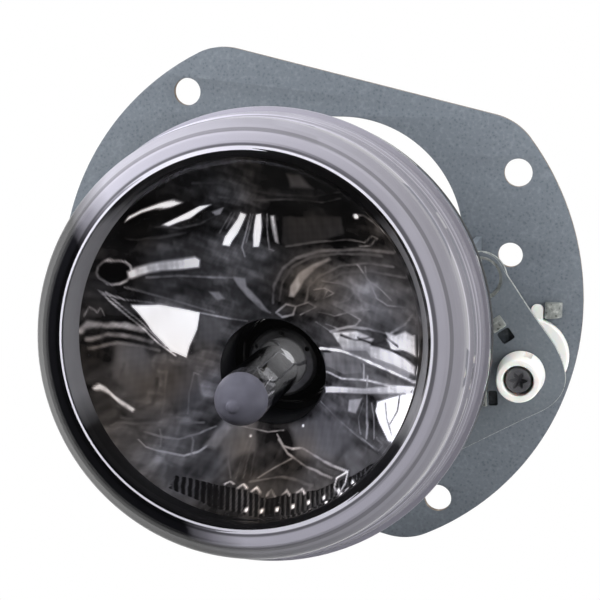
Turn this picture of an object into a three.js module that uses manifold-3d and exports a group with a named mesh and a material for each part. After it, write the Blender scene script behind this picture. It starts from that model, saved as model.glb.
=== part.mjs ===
import * as THREE from "three";
import { mergeVertices } from "three/addons/utils/BufferGeometryUtils.js";
import Module from "manifold-3d";

// Fog light on a tilting frame. Millimetres, X to the right as seen from the front,
// Y to the rear, Z up. The front face of the mounting plate is the plane Y = 0 and the
// centre of its four corner holes is the origin. The lamp looks along -Y.

// Mounting plate
const PLATE_T = 1.5;
const PLATE_R = 67;
const PLATE_FLAT = 55.2;
const PLATE_TURN = (-13.2 * Math.PI) / 180;
const PLATE_CORNER = 15;
// Opening: a rounded rectangle
const OPENING_X = 37.5;
const OPENING_Z = 45;
const OPENING_CORNER = 30;
const BOLT_RING_R = 60;
const BOLT_ANGLES = [32.65, 122.65, 212.65, -57.35];
const BOLT_HOLE_R = 3.4;
const EXTRA_HOLE = [49.1, 12.3, 3.0];
// Hinge line of the tilt, level and parallel to X
const HINGE_Y = -13.5;
const HINGE_Z = 12;
const LUG_X = [40.6, 42.1];
const TAB_X = [38.9, 40.1];
const RIVET_R = 2;
// Tilt frame, a flat sheet in front of the plate
const FRAME_Y = [-20.6, -19.4];
const FRAME_HOLE_R = 24.8;
const FRAME_CZ = -3.5;
// Adjuster axis, parallel to Y
const ADJ = [54.5, -12.1];
// Lens axis: it leans back by the rake angle and starts at the lens flange
const RAKE = (8 * Math.PI) / 180;
const LENS_O = new THREE.Vector3(0, -47.7, 0.2);
// Bulb axis, parallel to Y
const BULB_Z = -9.7;

const wasm = await Module();
wasm.setup();

const AX = new THREE.Vector3(0, -Math.cos(RAKE), Math.sin(RAKE));
const AU = new THREE.Vector3(1, 0, 0);
const AV = new THREE.Vector3(0, Math.sin(RAKE), Math.cos(RAKE));

const lensPoint = (r, s, a) =>
  LENS_O.clone()
    .addScaledVector(AX, s)
    .addScaledVector(AU, r * Math.cos(a))
    .addScaledVector(AV, r * Math.sin(a));
const yPoint = (r, y, a, x0 = 0, z0 = 0) =>
  new THREE.Vector3(x0 + r * Math.cos(a), y, z0 + r * Math.sin(a));
const ring = (n, f) =>
  Array.from({ length: n }, (_, i) => f((2 * Math.PI * i) / n, i));

// Joins rings of points into one closed surface: either the last ring meets the first,
// or both ends close on a point.
function skin(rings, ends) {
  const n = rings[0].length;
  const pos = [];
  const idx = [];
  rings.forEach((r) => r.forEach((p) => pos.push(p.x, p.y, p.z)));
  const quads = ends ? rings.length - 1 : rings.length;
  for (let k = 0; k < quads; k++) {
    const a = k * n;
    const b = ((k + 1) % rings.length) * n;
    for (let i = 0; i < n; i++) {
      const j = (i + 1) % n;
      idx.push(a + i, a + j, b + j, a + i, b + j, b + i);
    }
  }
  if (ends) {
    const p0 = pos.length / 3;
    pos.push(ends[0].x, ends[0].y, ends[0].z, ends[1].x, ends[1].y, ends[1].z);
    const last = (rings.length - 1) * n;
    for (let i = 0; i < n; i++) {
      const j = (i + 1) % n;
      idx.push(p0, j, i, p0 + 1, last + i, last + j);
    }
  }
  let vol = 0;
  const v = (k) => new THREE.Vector3(pos[3 * k], pos[3 * k + 1], pos[3 * k + 2]);
  for (let i = 0; i < idx.length; i += 3)
    vol += v(idx[i]).dot(v(idx[i + 1]).cross(v(idx[i + 2])));
  if (vol < 0)
    for (let i = 0; i < idx.length; i += 3)
      [idx[i + 1], idx[i + 2]] = [idx[i + 2], idx[i + 1]];
  const g = new THREE.BufferGeometry();
  g.setAttribute("position", new THREE.Float32BufferAttribute(pos, 3));
  g.setIndex(idx);
  return g;
}
// Revolved profile of [radius, position] pairs. A profile that starts and ends at radius 0
// closes on the axis; any other one closes on itself.
function turned(profile, n, point) {
  const axis = profile[0][0] === 0 && profile[profile.length - 1][0] === 0;
  const body = axis ? profile.slice(1, -1) : profile;
  const rings = body.map(([r, s]) => ring(n, (a) => point(r, s, a)));
  const end = (k) => point(0, profile[k][1], 0);
  return skin(rings, axis ? [end(0), end(profile.length - 1)] : null);
}
const lensTurned = (profile, n) => turned(profile, n, lensPoint);
const yTurned = (profile, n, x0 = 0, z0 = 0) =>
  turned(profile, n, (r, y, a) => yPoint(r, y, a, x0, z0));
const xTurned = (profile, n, y0, z0) =>
  turned(profile, n, (r, x, a) =>
    new THREE.Vector3(x, y0 + r * Math.cos(a), z0 + r * Math.sin(a)),
  );
const zTurned = (profile, n, x0, y0) =>
  turned(profile, n, (r, z, a) =>
    new THREE.Vector3(x0 + r * Math.cos(a), y0 + r * Math.sin(a), z),
  );

function solid(g) {
  const bare = new THREE.BufferGeometry();
  const src = g.index ? g.toNonIndexed() : g;
  bare.setAttribute("position", src.getAttribute("position").clone());
  const m = mergeVertices(bare, 1e-4);
  return new wasm.Manifold(
    new wasm.Mesh({
      numProp: 3,
      vertProperties: new Float32Array(m.attributes.position.array),
      triVerts: new Uint32Array(m.index.array),
    }),
  );
}
function surface(s) {
  const m = s.getMesh();
  const k = m.numProp;
  const v = new Float32Array(m.numVert * 3);
  for (let i = 0; i < m.numVert; i++)
    v.set(m.vertProperties.subarray(i * k, i * k + 3), i * 3);
  const g = new THREE.BufferGeometry();
  g.setAttribute("position", new THREE.BufferAttribute(v, 3));
  g.setIndex(new THREE.BufferAttribute(new Uint32Array(m.triVerts), 1));
  return g;
}
const cylY = (r, y0, y1, x0 = 0, z0 = 0, n = 32) =>
  solid(yTurned([[0, y0], [r, y0], [r, y1], [0, y1]], n, x0, z0));
const cylX = (r, x0, x1, y0, z0, n = 32) =>
  solid(xTurned([[0, x0], [r, x0], [r, x1], [0, x1]], n, y0, z0));
// Box between two corners, turned about its own centre's Y direction when asked.
function box(x0, x1, y0, y1, z0, z1, turn = 0) {
  const g = new THREE.BoxGeometry(x1 - x0, y1 - y0, z1 - z0);
  if (turn) g.rotateY(-turn);
  g.translate((x0 + x1) / 2, (y0 + y1) / 2, (z0 + z1) / 2);
  return solid(g);
}
// Sheet with an outline of [x, z] points and round holes [x, z, r], between two Y planes.
function sheet(points, y0, y1, holes = []) {
  const shape = new THREE.Shape(points.map(([x, z]) => new THREE.Vector2(x, z)));
  for (const [x, z, r, n = 32] of holes)
    shape.holes.push(
      new THREE.Path(
        ring(n, (a) => new THREE.Vector2(x + r * Math.cos(a), z + r * Math.sin(a))),
      ),
    );
  const g = new THREE.ExtrudeGeometry(shape, { depth: y1 - y0, bevelEnabled: false });
  g.rotateX(Math.PI / 2);
  g.translate(0, y1, 0);
  return solid(g);
}

// Outline of the plate: a disc with two flats, their corners rounded.
function plateOutline() {
  const R = PLATE_R;
  const d = PLATE_FLAT;
  const c = PLATE_CORNER;
  const pts = [];
  // The corner's centre lies on the flat's offset line and inside the disc.
  const cy = d - c;
  const cx = Math.sqrt((R - c) ** 2 - cy ** 2);
  const a0 = Math.atan2(cy, cx);
  const corner = (sx, sy) => {
    const out = [];
    for (let i = 0; i <= 8; i++) {
      const a = a0 + ((Math.PI / 2 - a0) * i) / 8;
      out.push([sx * (cx + c * Math.cos(a)), sy * (cy + c * Math.sin(a))]);
    }
    return sx * sy > 0 ? out : out.reverse();
  };
  const arc = (from, to, n) => {
    const out = [];
    for (let i = 1; i < n; i++) {
      const a = from + ((to - from) * i) / n;
      out.push([R * Math.cos(a), R * Math.sin(a)]);
    }
    return out;
  };
  pts.push(...corner(1, 1), ...corner(-1, 1));
  pts.push(...arc(Math.PI - a0, Math.PI + a0, 16));
  pts.push(...corner(-1, -1), ...corner(1, -1));
  pts.push(...arc(-a0, a0, 16));
  const k = Math.cos(PLATE_TURN);
  const s = Math.sin(PLATE_TURN);
  return pts.map(([x, y]) => [x * k - y * s, x * s + y * k]);
}

function mountingPlate() {
  const holes = BOLT_ANGLES.map((d) => {
    const a = (d * Math.PI) / 180;
    return [BOLT_RING_R * Math.cos(a), BOLT_RING_R * Math.sin(a), BOLT_HOLE_R, 32];
  });
  holes.push([...EXTRA_HOLE, 32], [ADJ[0], ADJ[1], 5.4, 32]);
  let p = sheet(plateOutline(), 0, PLATE_T, holes);
  const opening = [];
  for (let q = 0; q < 4; q++)
    for (let i = 0; i <= 16; i++) {
      const a = ((q + i / 16) * Math.PI) / 2;
      const sx = q === 0 || q === 3 ? 1 : -1;
      const sz = q < 2 ? 1 : -1;
      opening.push([
        sx * (OPENING_X - OPENING_CORNER) + OPENING_CORNER * Math.cos(a),
        sz * (OPENING_Z - OPENING_CORNER) + OPENING_CORNER * Math.sin(a),
      ]);
    }
  p = p.subtract(sheet(opening, -1, PLATE_T + 1));
  for (const side of [1, -1]) {
    const x = (a, b) => (side > 0 ? [a, b] : [-b, -a]);
    p = p.add(box(...x(LUG_X[0], 45.2), 0, PLATE_T, 5.6, 18.4));
    const lug = box(...x(...LUG_X), -17.4, 1, HINGE_Z - 4.6, HINGE_Z + 4.6).subtract(
      cylX(RIVET_R + 0.06, ...x(LUG_X[0] - 2, LUG_X[1] + 2), HINGE_Y, HINGE_Z),
    );
    p = p.add(lug);
  }
  // Lanced scoop beside the adjuster, open towards the nut's tongue
  const scoop = new THREE.ExtrudeGeometry(
    new THREE.Shape(
      [[57.9, 0.4], [57.9, -2.6], [58.7, -2.6], [60.2, -2.1], [61.5, -1.1], [62.2, 0.4]].map(
        ([x, y]) => new THREE.Vector2(x, y),
      ),
    ),
    { depth: 3.8, bevelEnabled: false },
  );
  scoop.translate(0, 0, -2.6);
  return p.add(solid(scoop));
}

const EAR = [
  [30, 16.4], [43.6, 16.2], [45.1, 16.1], [46.7, 15.6], [48.2, 14.6], [49.3, 13.2],
  [50.4, 11.3], [52.8, 7.8], [55.3, 4.1], [57.7, 0.8], [59.9, -2.1], [62.0, -5.1],
  [63.5, -8.0], [64.4, -10.8], [64.7, -13.2], [64.3, -15.5], [63.2, -17.5], [61.6, -19.3],
  [59.5, -20.8], [54.8, -23.4], [50.1, -26.1], [45.4, -28.8], [39.7, -32.1], [33, -36],
  [22, -30],
];
function tiltFrame() {
  const [y0, y1] = FRAME_Y;
  const disc = ring(72, (a) => [42.5 * Math.cos(a), FRAME_CZ + 42.5 * Math.sin(a)]);
  let f = sheet(disc, y0, y1);
  f = f.add(sheet(EAR.slice().reverse(), y0, y1));
  f = f.add(box(-43.4, -30, y0, y1, HINGE_Z - 8, HINGE_Z + 6));
  f = f.add(cylY(5.3, y0, y1 + 1.2, 44.3, 9.9));
  f = f.subtract(cylY(FRAME_HOLE_R, y0 - 3, y1 + 3, 0, FRAME_CZ, 64));
  f = f.subtract(cylY(4.3, y0 - 3, y1 + 3, 44.3, 9.9));
  f = f.subtract(cylY(4.9, y0 - 3, y1 + 3, ADJ[0], ADJ[1]));
  for (const s of SCREWS) f = f.subtract(cylY(2.3, y0 - 3, y1 + 3, s[0], s[1], 24));
  for (const side of [1, -1]) {
    const x = (a, b) => (side > 0 ? [a, b] : [-b, -a]);
    f = f.subtract(box(...x(30.2, TAB_X[0] - 0.2), y0 - 3, y1 + 3, HINGE_Z - 4.6, HINGE_Z + 3.6));
    f = f.add(
      box(...x(...TAB_X), y1 - 0.6, HINGE_Y + 3.7, HINGE_Z - 3.7, HINGE_Z + 3.4).subtract(
        cylX(RIVET_R + 0.08, ...x(TAB_X[0] - 2, TAB_X[1] + 2), HINGE_Y, HINGE_Z),
      ),
    );
  }
  // Two lanced claws that stand up from the arm beside their blind pockets
  for (const [x, z, w, h, dx, dz, tw, turn] of CLAWS) {
    f = f.subtract(box(x - w / 2, x + w / 2, y0 - 3, y1 - 0.35, z - h / 2, z + h / 2, turn));
    f = f.add(
      box(x + dx - tw / 2, x + dx + tw / 2, y0 - 1.5, y0 + 0.4, z + dz - h / 2, z + dz + h / 2, turn),
    );
  }
  return f;
}
const SCREWS = [45, 135, 225, 315].map((d) => {
  const a = (d * Math.PI) / 180;
  return [29.5 * Math.cos(a), FRAME_CZ + 29.5 * Math.sin(a)];
});
// Pocket centre and size, offset and width of the claw, turn
const CLAWS = [
  [50.7, -3.3, 3.0, 3.2, -1.9, 2.6, 2.0, (-54 * Math.PI) / 180],
  [48.0, -18.4, 2.2, 3.6, -2.2, 0, 1.4, (4 * Math.PI) / 180],
];

function rivet(side) {
  const x = [37.4, 38.6, 42.4, 43.6].map((v) => v * side);
  return xTurned(
    [[0, x[0]], [2.6, x[0]], [3.2, x[0] + 0.4 * side], [3.2, x[1]], [RIVET_R, x[1]], [RIVET_R, x[2]], [3.2, x[2]], [3.2, x[3] - 0.4 * side], [2.6, x[3]], [0, x[3]]],
    20, HINGE_Y, HINGE_Z,
  );
}

// Housing: a raked bowl with a level neck for the bulb
function housing() {
  const n = 52;
  const L = (r, s) => ring(n, (a) => lensPoint(r, s, a));
  const Y = (r, y, z0) => ring(n, (a) => yPoint(r, y, a, 0, z0));
  let h = solid(
    skin([
      L(50.2, -3.5), L(50.2, -6.5), L(46, -6.5), L(43.6, -15),
      Y(38, -27.5, -3), Y(34.5, -23.5, -3.5), Y(17.2, -23.5, BULB_Z), Y(16.5, -12, BULB_Z),
      Y(11, -12, BULB_Z), Y(11, -26, BULB_Z), Y(15, -26, BULB_Z), Y(31.8, -26, -3.5),
      Y(35.6, -28.8, -3), L(41.4, -15), L(43.4, -6.5), L(43.4, -3.5),
    ]),
  );
  for (const [x, z] of SCREWS)
    h = h.add(cylY(4.2, -25.2, -20.9, x, z, 24));
  for (const [x, z] of SCREWS)
    h = h.subtract(cylY(2.1, -24.9, -20, x, z, 24));
  // Breather stub
  h = h.add(cylY(2.6, -25, -15, 0, 14, 24)).subtract(cylY(1.4, -30, -10, 0, 14, 16));
  // Bayonet groove with three entry slots
  h = h.subtract(solid(yTurned([[10, -20], [13.2, -20], [13.2, -16.4], [10, -16.4]], 48, 0, BULB_Z)));
  for (const d of [90, 210, 330]) {
    const a = (d * Math.PI) / 180;
    h = h.subtract(
      box(11.2 * Math.cos(a) - 1.95, 11.2 * Math.cos(a) + 1.95, -17, -11, BULB_Z + 11.2 * Math.sin(a) - 2.7, BULB_Z + 11.2 * Math.sin(a) + 2.7, a),
    );
  }
  return h;
}

// Lens: thick clear cup with a domed window, a rounded rim and a stepped skirt
const LENS_PROFILE = [
  [0, 31.0], [20, 28.8], [31, 25.9], [38.8, 22.6], [40.2, 22.9],
  [41.8, 22.6], [42.9, 22.2], [44.2, 21.0], [46.4, 18.2], [46.9, 17.4],
  [47.2, 16.2], [47.6, 12.2], [48.2, 11.6], [48.4, 7.8], [48.9, 7.2],
  [49.1, 3.4], [50.4, 2.6], [50.4, -1.2],
  [48.2, -1.2], [48.0, 0.4], [46.9, 1.0], [45.3, 10.8], [44.4, 15.8],
  [42.8, 18.4], [41.2, 19.0], [37.6, 19.9], [30, 23.0], [20, 25.6], [0, 27.8],
];

// Reflector: bowl lofted from the level bulb hole to the raked rim, pressed into facets,
// with a short tube behind the hole
const HOLE_R = 12.1;
const HOLE_Y = -41;
const RIM_R = 40;
const RIM_S = 9.5;
function bowl(t, a) {
  const h = yPoint(HOLE_R, HOLE_Y, a, 0, BULB_Z);
  const e = lensPoint(RIM_R, RIM_S, a);
  const r = HOLE_R + (RIM_R - HOLE_R) * t;
  const g = (r * r - HOLE_R * HOLE_R) / (RIM_R * RIM_R - HOLE_R * HOLE_R);
  return new THREE.Vector3(
    h.x + (e.x - h.x) * t,
    h.y + (e.y - h.y) * g,
    h.z + (e.z - h.z) * t,
  );
}
function bowlNormal(t, a) {
  const d = 1e-3;
  const dt = bowl(t + d, a).sub(bowl(t - d, a));
  const da = bowl(t, a + d).sub(bowl(t, a - d));
  const n = dt.cross(da).normalize();
  return n.y > 0 ? n : n.negate();
}
// Depth of the pressed facets, none at the hole and at the rim
function facet(t, a) {
  const edge = Math.min(1, 4 * t, 4 * (1 - t));
  const up = Math.sin(a);
  if (up > 0.35) return 0.55 * edge * Math.cos(16 * a);
  if (up < -0.45) return 0.5 * edge * Math.cos(8 * a);
  return 0.7 * edge * Math.cos(5 * a + 0.6);
}
function reflector() {
  const n = 48;
  const L = (r, s) => ring(n, (a) => lensPoint(r, s, a));
  const Y = (r, y) => ring(n, (a) => yPoint(r, y, a, 0, BULB_Z));
  const rings = [L(41.6, RIM_S), L(RIM_R, RIM_S)];
  for (let k = 7; k >= 0; k--)
    rings.push(
      ring(n, (a) => {
        const t = k / 8;
        return bowl(t, a).addScaledVector(bowlNormal(t, a), 0.3 + 0.3 * facet(t, a) - (k ? 0 : 0.3));
      }),
    );
  rings.push(Y(HOLE_R, -28.6), Y(HOLE_R + 1.6, -28.6), Y(HOLE_R + 1.6, -38.2));
  for (let k = 1; k <= 5; k++)
    rings.push(
      ring(n, (a) => {
        const t = k / 6.4;
        return bowl(t, a).addScaledVector(bowlNormal(t, a), 2.1);
      }),
    );
  rings.push(L(39.2, 4.2), L(42.6, -3.2), L(45.3, -3.2), L(45.3, -1.8), L(44.1, -1.8));
  return skin(rings);
}

// Bulb
function bulbCollar() {
  let c = solid(
    yTurned([[6.9, -28.4], [9.2, -28.4], [10.3, -26.6], [10.3, -10.8], [6.9, -10.8]], 40, 0, BULB_Z),
  );
  for (const d of [45, 165, 285]) {
    const a = (d * Math.PI) / 180;
    c = c.add(
      box(11 * Math.cos(a) - 1.5, 11 * Math.cos(a) + 1.5, -19.4, -17.2, BULB_Z + 11 * Math.sin(a) - 2, BULB_Z + 11 * Math.sin(a) + 2, a),
    );
  }
  return c;
}
function bulbBase() {
  // Metal cup that grips the glass, with slots round its face
  let b = solid(
    yTurned(
      [[6.05, -32.2], [7.4, -32.2], [8.0, -31.6], [8.0, -28.9], [6.5, -28.9], [6.5, -13.5], [5.5, -13.5], [5.5, -29.6], [6.05, -29.6]],
      32, 0, BULB_Z,
    ),
  );
  for (const d of [30, 150, 270]) {
    const a = (d * Math.PI) / 180;
    b = b.subtract(cylY(0.6, -33, -28, 7.0 * Math.cos(a), BULB_Z + 7.0 * Math.sin(a), 12));
  }
  return b;
}
function bulbBody() {
  // Rear flange, round back and elbow shroud with an open lower end
  let b = solid(
    yTurned([[0, -10.4], [15.4, -10.4], [15.8, -9.8], [15.8, -8.4], [13.4, -8.0], [12.8, -2.4], [11.6, -1.4], [0, -1.4]], 48, 0, BULB_Z),
  );
  b = b.add(box(-10.6, 10.6, -8, 6.4, -38, BULB_Z + 7));
  b = b.subtract(box(-8.9, 8.9, -6.2, 4.6, -40, -21));
  // Guide rib and latch step outside the shroud
  b = b.add(box(-3.2, 3.2, 6, 8.2, -30, -24));
  // Entries for the terminals
  for (const x of [-3.6, 3.6]) b = b.subtract(box(x - 1.7, x + 1.7, -1.4, 0.2, -22, -14));
  return b;
}

const mat = (color, rough, metal, extra = {}) =>
  new THREE.MeshStandardMaterial({ color, roughness: rough, metalness: metal, ...extra });
const group = new THREE.Group();
group.name = "fog_light";
function add(name, geometry, material) {
  const g = geometry.isBufferGeometry ? geometry : surface(geometry);
  g.computeVertexNormals();
  const m = new THREE.Mesh(g, material);
  m.name = name;
  group.add(m);
}

const steelCoat = () => mat(0x77828a, 0.5, 0.6);
const whitePlastic = () => mat(0xecebe6, 0.45, 0);
const blackPlastic = () => mat(0x1c1d1f, 0.5, 0);
const zinc = () => mat(0x9a9da0, 0.35, 0.9);

// Bracket side
add("mounting_plate", mountingPlate(), steelCoat());
add("hinge_rivet_right", rivet(1), zinc());
add("hinge_rivet_left", rivet(-1), zinc());
let nut = solid(
  yTurned([[2.62, -2.4], [9.1, -2.4], [9.6, -1.9], [9.6, -0.3], [5.0, -0.3], [5.0, 2.2], [5.6, 2.6], [4.9, 6.6], [4.3, 8.4], [2.62, 8.4]], 32, ...ADJ),
);
nut = nut.add(box(54.6, 57.6, -1.9, -0.35, -6, 0.6));
nut = nut.subtract(cylY(2.62, -4, 10, ADJ[0], ADJ[1], 32));
add("adjuster_nut", nut, whitePlastic());

// Lamp side
add("tilt_frame", tiltFrame(), mat(0x6c7a7c, 0.5, 0.6));
add("housing", housing(), blackPlastic());
add("lens", lensTurned(LENS_PROFILE, 56), mat(0xdfe3ea, 0.03, 0, { transparent: true, opacity: 0.35 }));
add("lens_seal", lensTurned([[46.8, -1.5], [49.8, -1.5], [49.8, -3.2], [46.8, -3.2]], 48), mat(0x111214, 0.8, 0));
add("masking_ring", lensTurned([[41.6, 9.8], [40.2, 9.8], [40.4, 12.0], [40.8, 17.6], [41.3, 17.6], [42.0, 12.0]], 48), mat(0x8b8d90, 0.4, 0.6));
add("reflector", reflector(), mat(0xc9ccd2, 0.05, 1));
SCREWS.forEach(([x, z], i) =>
  add(
    "frame_screw_" + (i + 1),
    yTurned([[0, -24.6], [1.4, -24.6], [1.8, -23.8], [1.8, -19.1], [3.7, -19.1], [3.7, -17.8], [3.0, -17.0], [1.5, -16.8], [1.5, -18.2], [0, -18.2]], 16, x, z),
    zinc(),
  ),
);
add(
  "breather_cap",
  yTurned([[2.9, -19.2], [4.2, -19.2], [4.2, -13.2], [3.6, -12.6], [0, -12.6], [0, -14.2], [2.9, -14.2]].slice(0, 4).concat([[1.0, -12.6], [1.0, -14.2], [2.9, -14.2]]), 24, 0, 14),
  mat(0x161718, 0.8, 0),
);

// Adjuster
let bush = solid(
  yTurned(
    [[3.55, -28.4], [4.8, -28.4], [5.1, -28.1], [5.6, -21.6], [5.5, -21.0], [4.4, -21.0], [4.4, -19.0], [5.2, -18.9], [4.6, -17.4], [2.7, -17.4], [2.7, -22.2], [3.55, -22.2]],
    32, ...ADJ,
  ),
);
bush = bush.subtract(box(ADJ[0] + 1.0, ADJ[0] + 2.6, -25, -21.9, ADJ[1] + 4.4, ADJ[1] + 6.4, (-20 * Math.PI) / 180));
add("adjuster_bush", bush, whitePlastic());
const thread = [];
for (let y = -3.5; y < 11; y += 1.5) thread.push([2.05, y], [2.5, y + 0.6]);
let screw = solid(
  yTurned([[0, -27.9], [2.9, -27.9], [3.2, -27.6], [3.2, -22.6], [2.4, -22.5], [2.4, -5], [2.05, -4.5], ...thread, [2.05, 11.2], [1.6, 12.4], [0, 12.4]], 20, ...ADJ),
);
for (let i = 0; i < 3; i++)
  screw = screw.subtract(box(ADJ[0] - 0.55, ADJ[0] + 0.55, -29, -25.4, ADJ[1] - 1.9, ADJ[1] + 1.9, (i * Math.PI) / 3));
add("adjuster_screw", screw, mat(0x74777a, 0.3, 0.9));
add("screw_clip", solid(yTurned([[2.5, -16.9], [4.3, -16.9], [4.3, -16.1], [2.5, -16.1]], 28, ...ADJ)).subtract(box(ADJ[0] - 0.9, ADJ[0] + 0.9, -18, -15, ADJ[1], ADJ[1] + 6)), zinc());

// Bulb
add(
  "bulb_glass",
  yTurned(
    [[0, -74.6], [0.8, -74.5], [1.3, -73.9], [1.6, -73.3], [3.1, -72.6], [4.5, -70.8], [5.4, -68.4], [5.75, -65.4], [5.75, -30.2], [4.75, -30.2], [4.75, -65.2], [4.3, -67.8], [3.3, -69.9], [1.9, -71.2], [0, -71.7]],
    28, 0, BULB_Z,
  ),
  mat(0xe8e8ee, 0.03, 0, { transparent: true, opacity: 0.35 }),
);
const coil = [];
for (let i = 0; i <= 64; i++) {
  const a = (i / 8) * 2 * Math.PI;
  const c = new THREE.Vector3(0.75 * Math.cos(a), -58 + (4.6 * i) / 64, BULB_Z + 0.75 * Math.sin(a));
  const out = new THREE.Vector3(Math.cos(a), 0, Math.sin(a));
  coil.push(ring(4, (b) => c.clone().addScaledVector(out, 0.15 * Math.cos(b)).add(new THREE.Vector3(0, 0.15 * Math.sin(b), 0))));
}
const mid = (r) => r.reduce((s, p) => s.add(p), new THREE.Vector3()).divideScalar(r.length);
add("filament", skin(coil, [mid(coil[0]), mid(coil[coil.length - 1])]), mat(0x3a3a3c, 0.4, 0.9));
// Support wire that follows a path of points
function wire(points, r) {
  const rings = points.map((p, i) => {
    const a = new THREE.Vector3(...points[Math.max(0, i - 1)]);
    const b = new THREE.Vector3(...points[Math.min(points.length - 1, i + 1)]);
    const d = b.sub(a).normalize();
    const u = new THREE.Vector3(1, 0, 0).cross(d).lengthSq() > 0.1 ? new THREE.Vector3(1, 0, 0).cross(d).normalize() : new THREE.Vector3(0, 0, 1).cross(d).normalize();
    const v = d.clone().cross(u);
    return ring(8, (q) => new THREE.Vector3(...p).addScaledVector(u, r * Math.cos(q)).addScaledVector(v, r * Math.sin(q)));
  });
  return skin(rings, [mid(rings[0]), mid(rings[rings.length - 1])]);
}
add("filament_wire_long", wire([[-2.6, -28, BULB_Z + 1], [-2.6, -50, BULB_Z + 1], [-2.6, -59.4, BULB_Z + 0.9], [-1.6, -60.4, BULB_Z + 0.5], [0, -60.4, BULB_Z], [0, -59.0, BULB_Z]], 0.28), zinc());
add("filament_wire_short", wire([[2.2, -28, BULB_Z - 1], [2.2, -46, BULB_Z - 0.9], [1.6, -50.8, BULB_Z - 0.5], [0, -51.8, BULB_Z], [0, -52.6, BULB_Z]], 0.28), zinc());
add("bulb_base", bulbBase(), mat(0xb9bbbd, 0.3, 0.9));
add("bulb_collar", bulbCollar(), mat(0x2a2b2d, 0.5, 0));
add("bulb_seal", yTurned(Array.from({ length: 6 }, (_, i) => [13.6 + 0.6 * Math.cos((i * Math.PI) / 3), -11.2 + 0.6 * Math.sin((i * Math.PI) / 3)]), 32, 0, BULB_Z), mat(0xa33c22, 0.7, 0));
add("bulb_body", bulbBody(), blackPlastic());
for (const [name, x] of [["terminal_a", -3.6], ["terminal_b", 3.6]])
  add(name, box(x - 1.3, x + 1.3, -1.0, -0.2, -30, -14.4), mat(0xc0a060, 0.3, 0.9));

export default group;
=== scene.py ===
"""Looks for a round fog light on its tilting frame. Metres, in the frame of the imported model."""

import math

import bpy
import bmesh
import numpy as np
from mathutils import Vector, Matrix


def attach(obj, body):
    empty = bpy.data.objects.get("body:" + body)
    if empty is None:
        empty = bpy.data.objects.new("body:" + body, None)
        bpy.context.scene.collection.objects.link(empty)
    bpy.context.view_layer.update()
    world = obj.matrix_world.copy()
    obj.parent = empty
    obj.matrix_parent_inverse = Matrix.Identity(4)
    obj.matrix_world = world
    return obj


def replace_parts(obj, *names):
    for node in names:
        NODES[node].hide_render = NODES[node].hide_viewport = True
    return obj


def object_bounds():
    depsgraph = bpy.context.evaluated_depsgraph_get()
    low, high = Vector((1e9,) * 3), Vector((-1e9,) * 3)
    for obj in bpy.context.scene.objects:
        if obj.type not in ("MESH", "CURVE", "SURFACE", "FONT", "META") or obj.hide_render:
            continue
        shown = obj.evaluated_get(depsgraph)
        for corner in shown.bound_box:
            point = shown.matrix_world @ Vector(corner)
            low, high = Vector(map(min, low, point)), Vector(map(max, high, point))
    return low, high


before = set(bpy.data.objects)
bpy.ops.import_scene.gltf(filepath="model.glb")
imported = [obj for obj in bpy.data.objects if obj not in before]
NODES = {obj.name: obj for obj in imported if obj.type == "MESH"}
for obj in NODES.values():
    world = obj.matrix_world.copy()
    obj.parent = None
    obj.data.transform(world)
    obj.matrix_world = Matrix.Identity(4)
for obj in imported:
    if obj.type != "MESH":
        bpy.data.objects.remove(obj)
cad_lo, cad_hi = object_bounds()
MM = 0.001
PI = math.pi
scene = bpy.context.scene

# ---------------------------------------------------------------- shared measures, mm
RAKE = math.radians(8)
LENS_O = np.array([0.0, -47.7, 0.2])
AX = np.array([0.0, -math.cos(RAKE), math.sin(RAKE)])
AV = np.array([0.0, math.sin(RAKE), math.cos(RAKE)])
BULB_Z = -9.7
ADJ = (54.5, -12.1)
HINGE = (-13.5, 12.0)
FRAME_CZ = -3.5
SCREWS = [
    (29.5 * math.cos(math.radians(d)), FRAME_CZ + 29.5 * math.sin(math.radians(d)))
    for d in (45, 135, 225, 315)
]


def lens_pt(r, s, a):
    return LENS_O + AX * s + np.array([r * math.cos(a), 0, 0]) + AV * (r * math.sin(a))


def y_pt(x0=0.0, z0=0.0):
    def f(r, y, a):
        return np.array([x0 + r * math.cos(a), y, z0 + r * math.sin(a)])

    return f


def x_pt(y0, z0):
    def f(r, x, a):
        return np.array([x, y0 + r * math.cos(a), z0 + r * math.sin(a)])

    return f


bulb_pt = y_pt(0, BULB_Z)
adj_pt = y_pt(*ADJ)


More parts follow.
